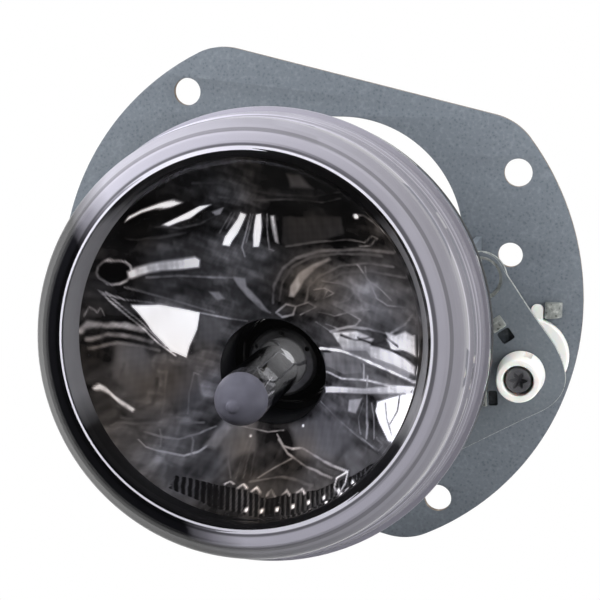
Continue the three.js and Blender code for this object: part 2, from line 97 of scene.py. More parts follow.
# ---------------------------------------------------------------- materials
class Mat:
    """A material with a Principled shader and short helpers for its nodes."""

    def __init__(self, name, **values):
        self.m = bpy.data.materials.new(name)
        self.m.use_nodes = True
        self.nt = self.m.node_tree
        self.nt.nodes.clear()
        self.out = self.nt.nodes.new("ShaderNodeOutputMaterial")
        self.b = self.nt.nodes.new("ShaderNodeBsdfPrincipled")
        self.link(self.b.outputs[0], self.out.inputs["Surface"])
        self.coord = None
        for k, v in values.items():
            self.b.inputs[k.replace("_", " ")].default_value = v

    def link(self, a, b):
        self.nt.links.new(a, b)

    def node(self, kind, **sockets):
        n = self.nt.nodes.new(kind)
        for k, v in sockets.items():
            n.inputs[k.replace("_", " ")].default_value = v
        return n

    def where(self):
        if self.coord is None:
            self.coord = self.nt.nodes.new("ShaderNodeTexCoord")
        return self.coord.outputs["Object"]

    def noise(self, scale, detail=3.0, rough=0.55, stretch=None, distortion=0.0):
        n = self.node("ShaderNodeTexNoise", Scale=scale, Detail=detail, Roughness=rough, Distortion=distortion)
        src = self.where()
        if stretch:
            m = self.nt.nodes.new("ShaderNodeMapping")
            m.inputs["Scale"].default_value = stretch
            self.link(src, m.inputs["Vector"])
            src = m.outputs[0]
        self.link(src, n.inputs["Vector"])
        return n.outputs["Fac"]

    def voronoi(self, scale, feature="F1"):
        n = self.node("ShaderNodeTexVoronoi", Scale=scale)
        n.feature = feature
        self.link(self.where(), n.inputs["Vector"])
        return n.outputs["Distance"]

    def ramp(self, fac, stops, interp="LINEAR"):
        n = self.nt.nodes.new("ShaderNodeValToRGB")
        n.color_ramp.interpolation = interp
        el = n.color_ramp.elements
        while len(el) < len(stops):
            el.new(0.5)
        for e, (p, c) in zip(el, stops):
            e.position = p
            e.color = (*c, 1.0) if hasattr(c, "__len__") else (c, c, c, 1.0)
        self.link(fac, n.inputs["Fac"])
        return n.outputs["Color"]

    def span(self, fac, lo, hi, a=0.0, b=1.0):
        n = self.nt.nodes.new("ShaderNodeMapRange")
        for k, v in (("From Min", a), ("From Max", b), ("To Min", lo), ("To Max", hi)):
            n.inputs[k].default_value = v
        self.link(fac, n.inputs["Value"])
        return n.outputs["Result"]

    def attr(self, name):
        n = self.nt.nodes.new("ShaderNodeAttribute")
        n.attribute_name = name
        return n.outputs["Fac"]

    def mul(self, a, b):
        n = self.nt.nodes.new("ShaderNodeMath")
        n.operation = "MULTIPLY"
        for i, v in enumerate((a, b)):
            if isinstance(v, (int, float)):
                n.inputs[i].default_value = v
            else:
                self.link(v, n.inputs[i])
        return n.outputs[0]

    def add(self, a, b):
        n = self.nt.nodes.new("ShaderNodeMath")
        n.operation = "ADD"
        for i, v in enumerate((a, b)):
            if isinstance(v, (int, float)):
                n.inputs[i].default_value = v
            else:
                self.link(v, n.inputs[i])
        return n.outputs[0]

    def bump(self, height, strength=0.3, distance=0.0001):
        n = self.node("ShaderNodeBump", Strength=strength, Distance=distance)
        self.link(height, n.inputs["Height"])
        self.link(n.outputs[0], self.b.inputs["Normal"])
        return n

    def color(self, socket):
        self.link(socket, self.b.inputs["Base Color"])

    def rough(self, socket):
        self.link(socket, self.b.inputs["Roughness"])


def srgb(r, g, b):
    def f(v):
        v /= 255.0
        return v / 12.92 if v <= 0.04045 else ((v + 0.055) / 1.055) ** 2.4

    return (f(r), f(g), f(b))


def coated_steel(name, base, dark, light, rough=(0.32, 0.5), metal=0.35, speck=1500.0):
    """Sheet steel with a thin, finely mottled coating."""
    m = Mat(name, Metallic=metal)
    n1 = m.noise(speck, 4.0, 0.7)
    n2 = m.noise(speck * 0.14, 3.0, 0.5)
    v = m.voronoi(speck * 0.75)
    k = m.add(m.mul(n1, 0.62), m.add(m.mul(n2, 0.2), m.mul(v, 0.3)))
    m.color(m.ramp(k, [(0.43, dark), (0.5, base), (0.6, base), (0.7, light)]))
    m.rough(m.span(n1, rough[0], rough[1], 0.3, 0.7))
    m.bump(k, 0.22, 0.00006)
    return m.m


def moulded(name, c1, c2, rough=(0.35, 0.5), grain=2600.0, strength=0.12, **values):
    """Moulded plastic with a fine grain."""
    m = Mat(name, **values)
    n1 = m.noise(grain, 3.0, 0.6)
    n2 = m.noise(grain * 0.06, 2.0, 0.5)
    m.color(m.ramp(n2, [(0.3, c1), (0.7, c2)]))
    m.rough(m.span(n1, rough[0], rough[1], 0.3, 0.7))
    m.bump(n1, strength, 0.00004)
    return m.m


def plated(name, c1, c2, rough=(0.2, 0.38), metal=1.0, scale=900.0, stretch=None, strength=0.1):
    """Plated or bare metal with fine scratches and a little uneven colour."""
    m = Mat(name, Metallic=metal)
    n1 = m.noise(scale * 2.2, 4.0, 0.6, stretch)
    n2 = m.noise(scale * 0.3, 3.0, 0.5)
    m.color(m.ramp(n2, [(0.3, c1), (0.7, c2)]))
    m.rough(m.span(n1, rough[0], rough[1], 0.3, 0.7))
    m.bump(n1, strength, 0.00003)
    return m.m


def clear(name, tint, rough=0.0, ior=1.5, wave=0.02, wave_scale=60.0):
    """Clear moulded glass that lets the lamps through: faint flow waves, shadow rays pass."""
    m = Mat(name, Roughness=rough, IOR=ior)
    m.b.inputs["Transmission Weight"].default_value = 1.0
    n = m.noise(wave_scale, 2.0, 0.5)
    m.color(m.ramp(n, [(0.2, tint), (0.8, tuple(min(1.0, v * 1.01) for v in tint))]))
    m.bump(n, wave, 0.0004)
    lp = m.nt.nodes.new("ShaderNodeLightPath")
    tr = m.nt.nodes.new("ShaderNodeBsdfTransparent")
    tr.inputs["Color"].default_value = (*tint, 1.0)
    mix = m.nt.nodes.new("ShaderNodeMixShader")
    m.link(lp.outputs["Is Shadow Ray"], mix.inputs[0])
    m.link(m.b.outputs[0], mix.inputs[1])
    m.link(tr.outputs[0], mix.inputs[2])
    m.link(mix.outputs[0], m.out.inputs["Surface"])
    return m.m


# ---------------------------------------------------------------- mesh helpers
def new_object(name, verts, faces, body, slot, mats, smooth=35.0, fix=True, pick=None, weld=0.0):
    """A mesh object from points in mm. pick(centre, normal) chooses the material of a face."""
    me = bpy.data.meshes.new(name)
    me.from_pydata((np.asarray(verts, float) * MM).tolist(), [], faces)
    if weld or fix:
        bm = bmesh.new()
        bm.from_mesh(me)
        if weld:
            bmesh.ops.remove_doubles(bm, verts=bm.verts, dist=weld * MM)
            bmesh.ops.dissolve_degenerate(bm, edges=bm.edges, dist=weld * MM * 0.5)
        if fix:
            bmesh.ops.recalc_face_normals(bm, faces=bm.faces)
        bm.to_mesh(me)
        bm.free()
    return finish_mesh(name, me, body, slot, mats, smooth, pick)


def finish_mesh(name, me, body, slot, mats, smooth=35.0, pick=None):
    me.name = name
    for m in mats if isinstance(mats, (list, tuple)) else [mats]:
        me.materials.append(m)
    me.polygons.foreach_set("use_smooth", [True] * len(me.polygons))
    me.set_sharp_from_angle(angle=math.radians(smooth))
    if pick:
        for p in me.polygons:
            p.material_index = pick(p.center / MM, p.normal)
    me.update()
    ob = bpy.data.objects.new(name, me)
    scene.collection.objects.link(ob)
    if body:
        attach(ob, body)
    return ob


def rounded(profile, radius, steps=4, closed=True):
    """A polyline with its corners rounded. radius is one number, or one for each point."""
    out = []
    n = len(profile)
    for i, p in enumerate(profile):
        r = radius[i] if hasattr(radius, "__len__") else radius
        if (not closed and i in (0, n - 1)) or r <= 0:
            out.append(tuple(p))
            continue
        P, A, B = (np.array(q, float) for q in (p, profile[i - 1], profile[(i + 1) % n]))
        va, vb = A - P, B - P
        la, lb = np.linalg.norm(va), np.linalg.norm(vb)
        if la < 1e-6 or lb < 1e-6:
            continue
        va, vb = va / la, vb / lb
        ang = math.acos(max(-1.0, min(1.0, float(va @ vb))))
        if ang > PI - 0.06 or ang < 0.05:
            out.append(tuple(p))
            continue
        t = min(r / math.tan(ang / 2), 0.46 * la, 0.46 * lb)
        rr = t * math.tan(ang / 2)
        bis = va + vb
        c = P + bis / np.linalg.norm(bis) * (rr / math.sin(ang / 2))
        a0 = math.atan2(*(P + va * t - c)[::-1])
        a1 = math.atan2(*(P + vb * t - c)[::-1])
        d = (a1 - a0 + PI) % (2 * PI) - PI
        for k in range(steps + 1):
            a = a0 + d * k / steps
            out.append((float(c[0] + rr * math.cos(a)), float(c[1] + rr * math.sin(a))))
    return out


def skin(rings, ends=None):
    """Faces over rings of points: closed on itself, or closed at both ends on a point each."""
    n = len(rings[0])
    verts = [p for r in rings for p in r]
    faces = []
    m = len(rings)
    for k in range(m - 1 if ends is not None else m):
        a, b = k * n, ((k + 1) % m) * n
        for i in range(n):
            j = (i + 1) % n
            faces.append((a + i, a + j, b + j, b + i))
    if ends is not None:
        p0 = len(verts)
        verts += [ends[0], ends[1]]
        last = (m - 1) * n
        for i in range(n):
            j = (i + 1) % n
            faces.append((p0, j, i))
            faces.append((p0 + 1, last + i, last + j))
    return verts, faces


def turned(profile, n, point):
    axis = abs(profile[0][0]) < 1e-9 and abs(profile[-1][0]) < 1e-9
    body = profile[1:-1] if axis else profile
    rings = [[point(r, s, 2 * PI * i / n) for i in range(n)] for r, s in body]
    return skin(rings, (point(0, profile[0][1], 0), point(0, profile[-1][1], 0)) if axis else None)


def turn(name, profile, n, point, body, slot, mats, radius=0.0, steps=3, smooth=35.0, pick=None):
    axis = abs(profile[0][0]) < 1e-9 and abs(profile[-1][0]) < 1e-9
    p = rounded(profile, radius, steps, closed=not axis)
    v, f = turned(p, n, point)
    return new_object(name, v, f, body, slot, mats, smooth, pick=pick)


def flat_mesh(loops, d0, d1, bevel, axis="Y", res=2):
    """A sheet: 2-D loops (outline first, then holes) between two planes, its edges bevelled. Metres."""
    cu = bpy.data.curves.new("tmp_sheet", "CURVE")
    cu.dimensions = "2D"
    cu.fill_mode = "BOTH"
    for loop in loops:
        sp = cu.splines.new("POLY")
        sp.points.add(len(loop) - 1)
        for q, (x, z) in zip(sp.points, loop):
            q.co = (x * MM, z * MM, 0, 1)
        sp.use_cyclic_u = True
    cu.extrude = max(0.0, (d1 - d0) / 2 - bevel) * MM
    cu.bevel_depth = bevel * MM
    cu.bevel_resolution = res
    cu.offset = -bevel * MM
    ob = bpy.data.objects.new("tmp_sheet", cu)
    scene.collection.objects.link(ob)
    dg = bpy.context.evaluated_depsgraph_get()
    me = bpy.data.meshes.new_from_object(ob.evaluated_get(dg), depsgraph=dg)
    bpy.data.objects.remove(ob)
    bpy.data.curves.remove(cu)
    mid = (d0 + d1) / 2 * MM
    if axis == "Y":
        mat = Matrix(((1, 0, 0, 0), (0, 0, -1, mid), (0, 1, 0, 0), (0, 0, 0, 1)))
    elif axis == "X":
        mat = Matrix(((0, 0, 1, mid), (1, 0, 0, 0), (0, 1, 0, 0), (0, 0, 0, 1)))
    else:
        mat = Matrix(((1, 0, 0, 0), (0, 1, 0, 0), (0, 0, 1, mid), (0, 0, 0, 1)))
    me.transform(mat)
    bm = bmesh.new()
    bm.from_mesh(me)
    bmesh.ops.remove_doubles(bm, verts=bm.verts, dist=2e-6)
    bmesh.ops.recalc_face_normals(bm, faces=bm.faces)
    bm.to_mesh(me)
    bm.free()
    return me


def mesh_of(verts, faces):
    me = bpy.data.meshes.new("tmp_part")
    me.from_pydata((np.asarray(verts, float) * MM).tolist(), [], faces)
    bm = bmesh.new()
    bm.from_mesh(me)
    bmesh.ops.recalc_face_normals(bm, faces=bm.faces)
    bm.to_mesh(me)
    bm.free()
    return me


def combine(base, parts):
    """base mesh with each (operation, mesh) applied in turn by an exact boolean."""
    ob = bpy.data.objects.new("tmp_base", base)
    scene.collection.objects.link(ob)
    tools = []
    for op, me in parts:
        t = bpy.data.objects.new("tmp_tool", me)
        scene.collection.objects.link(t)
        tools.append(t)
        m = ob.modifiers.new("b", "BOOLEAN")
        m.operation = op
        m.solver = "EXACT"
        m.object = t
    dg = bpy.context.evaluated_depsgraph_get()
    out = bpy.data.meshes.new_from_object(ob.evaluated_get(dg), depsgraph=dg)
    for o in [ob] + tools:
        bpy.data.objects.remove(o)
    bm = bmesh.new()
    bm.from_mesh(out)
    bmesh.ops.remove_doubles(bm, verts=bm.verts, dist=2e-6)
    bm.to_mesh(out)
    bm.free()
    return out


def circle(x, z, r, n=48):
    return [(x + r * math.cos(2 * PI * i / n), z + r * math.sin(2 * PI * i / n)) for i in range(n)]


def rect(x0, x1, z0, z1, r=0.6, steps=4, turn=0.0):
    p = rounded([(x0, z0), (x1, z0), (x1, z1), (x0, z1)], r, steps)
    if turn:
        cx, cz = (x0 + x1) / 2, (z0 + z1) / 2
        c, s = math.cos(turn), math.sin(turn)
        p = [(cx + (x - cx) * c - (z - cz) * s, cz + (x - cx) * s + (z - cz) * c) for x, z in p]
    return p


def tool_cyl(r, d0, d1, x, z, axis="Y", n=40):
    pt = {"Y": y_pt(x, z), "X": x_pt(x, z)}[axis]
    return mesh_of(*turned([(0, d0), (r, d0), (r, d1), (0, d1)], n, pt))


def tool_box(x0, x1, y0, y1, z0, z1, r=0.4, turn=0.0):
    return flat_mesh([rect(x0, x1, z0, z1, r, 3, turn)], y0, y1, min(0.12, r * 0.5), "Y", 1)


def smooth_path(points, closed=False, n=8, keep=0.0):
    """Catmull-Rom through 2-D points."""
    P = [np.array(p, float) for p in points]
    out = []
    m = len(P)
    for i in range(m if closed else m - 1):
        p0 = P[(i - 1) % m] if (closed or i > 0) else P[0]
        p1, p2 = P[i], P[(i + 1) % m]
        p3 = P[(i + 2) % m] if (closed or i + 2 < m) else P[-1]
        for k in range(n):
            t = k / n
            out.append(tuple(0.5 * ((2 * p1) + (p2 - p0) * t + (2 * p0 - 5 * p1 + 4 * p2 - p3) * t * t + (3 * p1 - p0 - 3 * p2 + p3) * t ** 3)))
    if not closed:
        out.append(tuple(P[-1]))
    return out


# ---------------------------------------------------------------- the materials
def skirt_painted_light():
    """Inner wall of the lens skirt: a smoky satin coat with painted shade that goes black on the far left and painted
    light elsewhere.
    """
    m = Mat("skirt_painted_light", Metallic=0.0)
    sep = m.nt.nodes.new("ShaderNodeSeparateXYZ")
    m.link(m.where(), sep.inputs[0])
    n1 = m.noise(260.0, 2.0, 0.5)
    side = m.add(sep.outputs["X"], m.mul(sep.outputs["Z"], 0.45))
    side = m.add(side, m.mul(n1, 0.003))
    # painted shade and painted light by side: black on the far left, bright lilac-white towards the right
    shade = m.ramp(m.span(side, 0.0, 1.0, -0.05, 0.05), [
        (0.0, srgb(14, 14, 17)), (0.24, srgb(18, 18, 22)), (0.36, srgb(215, 213, 224)), (0.6, srgb(205, 203, 214)), (1.0, srgb(176, 174, 182)),
    ])
    # painted rings along the lamp's axis: bright and dark bands and lines, painted highlights and shade where the
    # moulded steps are
    along = m.nt.nodes.new("ShaderNodeVectorMath")
    along.operation = "DOT_PRODUCT"
    along.inputs[1].default_value = (0.0, float(AX[1]) * 50.0, float(AX[2]) * 50.0)
    m.link(m.where(), along.inputs[0])
    bands = m.ramp(m.add(along.outputs["Value"], -float(LENS_O @ AX) * 0.05), [
        (0.0, 0.75), (0.14, 0.75), (0.15, 0.3), (0.17, 1.25), (0.29, 1.25), (0.3, 0.62), (0.54, 0.7), (0.55, 1.4), (0.58, 1.4), (0.59, 0.66), (0.84, 0.74), (0.85, 0.4), (0.89, 0.4), (0.9, 0.9), (0.944, 0.9), (0.95, 0.2), (0.955, 0.2), (0.96, 1.4),
    ])
    both = m.nt.nodes.new("ShaderNodeVectorMath")
    both.operation = "MULTIPLY"
    m.link(shade, both.inputs[0])
    m.link(bands, both.inputs[1])
    m.color(both.outputs[0])
    m.rough(m.span(n1, 0.3, 0.42, 0.3, 0.7))
    m.bump(n1, 0.05, 0.0001)
    return m.m


M_PLATE = coated_steel("plate_coating", srgb(108, 115, 123), srgb(92, 99, 107), srgb(118, 125, 132), (0.42, 0.58), 0.12)
M_EDGE = coated_steel("cut_edge", srgb(120, 104, 88), srgb(84, 72, 62), srgb(160, 148, 132), (0.4, 0.6), 0.5, 900.0)
M_FRAME = coated_steel("frame_coating", srgb(104, 111, 118), srgb(95, 102, 109), srgb(112, 119, 125), (0.42, 0.56), 0.15, 1700.0)
# painted shade: a dark finish for the floor of the claw pockets
M_PAINTED_POCKET_SHADE = coated_steel("pocket_painted_shade", srgb(44, 48, 52), srgb(32, 35, 38), srgb(58, 62, 66), (0.5, 0.6), 0.1, 1700.0)
# painted highlight: a bright finish for the frame's cut edges and tongues and for the plate's scoop
M_EDGE_HIGHLIGHT = coated_steel("painted_edge_highlight", srgb(176, 180, 176), srgb(120, 122, 118), srgb(216, 218, 214), (0.3, 0.45), 0.6, 1300.0)
M_ZINC = plated("zinc", srgb(176, 180, 184), srgb(150, 154, 160), (0.24, 0.42))
M_SCREW = plated("screw_steel", srgb(112, 112, 115), srgb(84, 84, 88), (0.3, 0.45), 0.35)
M_NYLON = moulded("white_nylon", srgb(236, 236, 232), srgb(226, 226, 222), (0.34, 0.46), 2400.0, 0.1)
M_NYLON.node_tree.nodes["Principled BSDF"].inputs["Subsurface Weight"].default_value = 0.25
M_NYLON.node_tree.nodes["Principled BSDF"].inputs["Subsurface Scale"].default_value = 0.0012
M_HOUSING = moulded("black_housing", srgb(30, 31, 33), srgb(40, 41, 43), (0.42, 0.58), 1900.0, 0.22)
M_RUBBER = moulded("black_rubber", srgb(20, 20, 21), srgb(30, 30, 31), (0.62, 0.8), 1500.0, 0.2)
M_SILICONE = moulded("red_silicone", srgb(150, 62, 40), srgb(168, 76, 50), (0.5, 0.66), 1800.0, 0.15)
M_TIN = plated("terminal_tin", srgb(196, 190, 168), srgb(172, 164, 140), (0.22, 0.36))
M_TUNGSTEN = plated("tungsten", srgb(82, 82, 84), srgb(60, 60, 62), (0.3, 0.45), 1.0, 4000.0)
M_WIRE = plated("support_wire", srgb(196, 196, 198), srgb(168, 168, 172), (0.16, 0.3), 1.0, 2600.0)
M_BASE = plated("bulb_metal", srgb(150, 150, 150), srgb(118, 118, 116), (0.26, 0.42), 0.45, 1200.0)
M_TUBE = moulded("bowl_tube_black", srgb(16, 17, 20), srgb(24, 25, 28), (0.36, 0.5), 1600.0, 0.1)
M_GLASS = clear("lens_glass", (0.955, 0.953, 0.975), 0.0, 1.49, 0.015, 45.0)
# painted light and shade for the inside of the lens skirt
M_LENS_SKIRT_PAINTED_LIGHT = skirt_painted_light()
# painted highlight: a thin white ring at the lens rim
M_RIM_HIGHLIGHT = moulded("rim_painted_highlight", srgb(244, 243, 250), srgb(228, 227, 236), (0.3, 0.4), 900.0, 0.05)
M_BULB = clear("bulb_glass", (0.93, 0.93, 0.95), 0.0, 1.47, 0.06, 260.0)


def masking_ring_painted_shade():
    """Satin grey of the masking ring, with painted shade that goes black low down and along the top."""
    m = Mat("trim_with_painted_shade", Metallic=0.1)
    sep = m.nt.nodes.new("ShaderNodeSeparateXYZ")
    m.link(m.where(), sep.inputs[0])
    n1 = m.noise(500.0, 3.0, 0.5)
    k = m.add(sep.outputs["Z"], m.mul(n1, 0.001))
    # painted shade by height: black low down and along the top, satin grey between
    m.color(m.ramp(m.span(k, 0.0, 1.0, -0.045, 0.045), [
        (0.0, srgb(10, 10, 11)), (0.30, srgb(14, 14, 15)), (0.38, srgb(140, 140, 141)), (0.78, srgb(150, 150, 151)), (0.84, srgb(18, 18, 19)),
    ]))
    m.rough(m.span(n1, 0.36, 0.46, 0.3, 0.7))
    m.bump(n1, 0.05, 0.00003)
    return m.m


M_PAINTED_SHADE_TRIM = masking_ring_painted_shade()


def tip_paint():
    m = Mat("tip_paint", Metallic=0.25)
    n1 = m.noise(1500.0, 3.0, 0.6)
    n2 = m.noise(240.0, 2.0, 0.5)
    m.color(m.ramp(n2, [(0.25, srgb(112, 112, 122)), (0.75, srgb(134, 134, 144))]))
    m.rough(m.span(n1, 0.34, 0.46, 0.3, 0.7))
    m.bump(n1, 0.12, 0.00004)
    return m.m


M_TIP = tip_paint()


def painted_reflection_mirror():
    """Aluminised bowl with painted reflections: polished where the painted reflection is dark, frosted and glowing with
    painted light where it is bright.
    """
    m = Mat("mirror_with_painted_reflections")
    reflection_paint = m.attr("reflection_paint")
    n1 = m.noise(420.0, 3.0, 0.6)
    n2 = m.noise(2600.0, 2.0, 0.5)
    # colour from the painted reflection, from black to white
    tint = m.ramp(reflection_paint, [
        (0.0, srgb(6, 6, 7)), (0.1, srgb(44, 44, 46)), (0.3, srgb(132, 132, 136)),
        (0.5, srgb(196, 196, 202)), (0.75, srgb(232, 232, 238)), (1.0, srgb(255, 255, 255)),
    ])
    warm = m.ramp(m.noise(34.0, 2.0, 0.5), [(0.42, (1.0, 1.0, 1.0)), (0.62, (1.0, 0.86, 0.68))])
    both = m.nt.nodes.new("ShaderNodeVectorMath")
    both.operation = "MULTIPLY"
    m.link(tint, both.inputs[0])
    m.link(warm, both.inputs[1])
    m.color(both.outputs[0])
    m.link(m.ramp(reflection_paint, [(0.0, 0.85), (0.1, 0.6), (0.25, 0.3), (0.9, 0.08), (1.0, 0.05)]), m.b.inputs["Metallic"])
    m.rough(m.add(m.span(reflection_paint, 0.05, 0.34), m.mul(n2, 0.04)))
    m.bump(n1, 0.1, 0.0002)
    # painted light: the bright parts of the painted reflection glow
    m.b.inputs["Emission Color"].default_value = (1.0, 1.0, 1.0, 1.0)
    m.link(m.span(reflection_paint, 0.0, 0.75, 0.6, 1.0), m.b.inputs["Emission Strength"])
    return m.m


M_PAINTED_REFLECTION_MIRROR = painted_reflection_mirror()


# ---------------------------------------------------------------- mounting plate
def plate_outline():
    R, d, c = 67.0, 55.2, 15.0
    cy = d - c
    cx = math.sqrt((R - c) ** 2 - cy ** 2)
    a0 = math.atan2(cy, cx)

    def corner(sx, sy):
        o = [(sx * (cx + c * math.cos(a0 + (PI / 2 - a0) * i / 20)), sy * (cy + c * math.sin(a0 + (PI / 2 - a0) * i / 20))) for i in range(21)]
        return o if sx * sy > 0 else o[::-1]

    def arc(f, t, n):
        return [(R * math.cos(f + (t - f) * i / n), R * math.sin(f + (t - f) * i / n)) for i in range(1, n)]

    p = corner(1, 1) + corner(-1, 1) + arc(PI - a0, PI + a0, 48) + corner(-1, -1) + corner(1, -1) + arc(-a0, a0, 48)
    k, s = math.cos(math.radians(-13.2)), math.sin(math.radians(-13.2))
    return [(x * k - y * s, x * s + y * k) for x, y in p]


BOLTS = [(60 * math.cos(math.radians(d)), 60 * math.sin(math.radians(d))) for d in (32.65, 122.65, 212.65, -57.35)]


def plate_piece():
    # The opening is a rounded rectangle
    opening = []
    for q, (sx, sz) in enumerate(((1, 1), (-1, 1), (-1, -1), (1, -1))):
        for i in range(41):
            a = (q + i / 40) * PI / 2
            opening.append((7.5 * sx + 30 * math.cos(a), 15 * sz + 30 * math.sin(a)))
    holes = [circle(x, z, 3.4) for x, z in BOLTS] + [circle(49.1, 12.3, 3.0), circle(ADJ[0], ADJ[1], 5.4)]
    base = flat_mesh([plate_outline(), opening] + holes, 0, 1.5, 0.14, "Y", 2)
    parts = []
    for side in (1, -1):
        def xs(a, b):
            return (a, b) if side > 0 else (-b, -a)
        parts.append(("UNION", tool_box(*xs(40.6, 45.2), 0.02, 1.48, 5.6, 18.4, 0.5)))
        lug = flat_mesh([rounded([(-17.4, 7.4), (1.0, 7.4), (1.0, 16.6), (-17.4, 16.6)], [4.0, 0.3, 0.3, 4.0], 8)], *xs(40.6, 42.1), 0.12, "X", 1)
        lug = combine(lug, [("DIFFERENCE", tool_cyl(2.06, *xs(38.6, 44.1), HINGE[0], HINGE[1], "X"))])
        parts.append(("UNION", lug))
    # Lanced scoop beside the adjuster
    sc = smooth_path([(57.95, 0.35), (57.95, -1.5), (58.15, -2.4), (58.9, -2.55), (60.0, -2.2), (61.1, -1.4), (61.8, -0.5), (62.15, 0.35)], n=4)
    parts.append(("UNION", flat_mesh([sc], -2.55, 1.15, 0.1, "Z", 1)))
    me = combine(base, parts)

    def pick(c, n):
        if abs(n.y) > 0.35:
            return 0
        return 1 if c[1] > -0.05 and c[1] < 1.55 else 0

    def pick_all(c, n):
        # painted highlight: the scoop's front faces take the bright edge finish
        if 57.5 < c[0] < 62.6 and -2.8 < c[2] < 1.5 and c[1] < -0.05:
            return 2
        return pick(c, n)

    ob = finish_mesh("plate", me, "bracket", "plate_steel", [M_PLATE, M_EDGE, M_EDGE_HIGHLIGHT], 30, pick_all)
    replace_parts(ob, "mounting_plate")


plate_piece()


def rivet(side):
    x = [37.4 * side, 38.6 * side, 42.4 * side, 43.6 * side]
    p = [(0, x[0]), (2.6, x[0]), (3.2, x[0] + 0.4 * side), (3.2, x[1]), (2.0, x[1]), (2.0, x[2]), (3.2, x[2]), (3.2, x[3] - 0.4 * side), (2.6, x[3]), (1.2, x[3]), (1.0, x[3] - 0.35 * side), (0, x[3] - 0.4 * side)]
    ob = turn("rivet_right" if side > 0 else "rivet_left", p, 40, x_pt(*HINGE), "bracket", "zinc_hardware", M_ZINC, 0.2, 2)
    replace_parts(ob, "hinge_rivet_right" if side > 0 else "hinge_rivet_left")


rivet(1)
rivet(-1)

# ---------------------------------------------------------------- tilt frame
EAR = [
    (30, 16.4), (43.6, 16.2), (45.1, 16.1), (46.7, 15.6), (48.2, 14.6), (49.3, 13.2),
    (50.4, 11.3), (52.8, 7.8), (55.3, 4.1), (57.7, 0.8), (59.9, -2.1), (62.0, -5.1),
    (63.5, -8.0), (64.4, -10.8), (64.7, -13.2), (64.3, -15.5), (63.2, -17.5), (61.6, -19.3),
    (59.5, -20.8), (54.8, -23.4), (50.1, -26.1), (45.4, -28.8), (39.7, -32.1), (33, -36),
]
CLAWS = [
    (50.7, -3.3, 3.0, 3.2, -1.9, 2.6, 2.0, math.radians(-54)),
    (48.0, -18.4, 2.2, 3.6, -2.2, 0.0, 1.4, math.radians(4)),
]


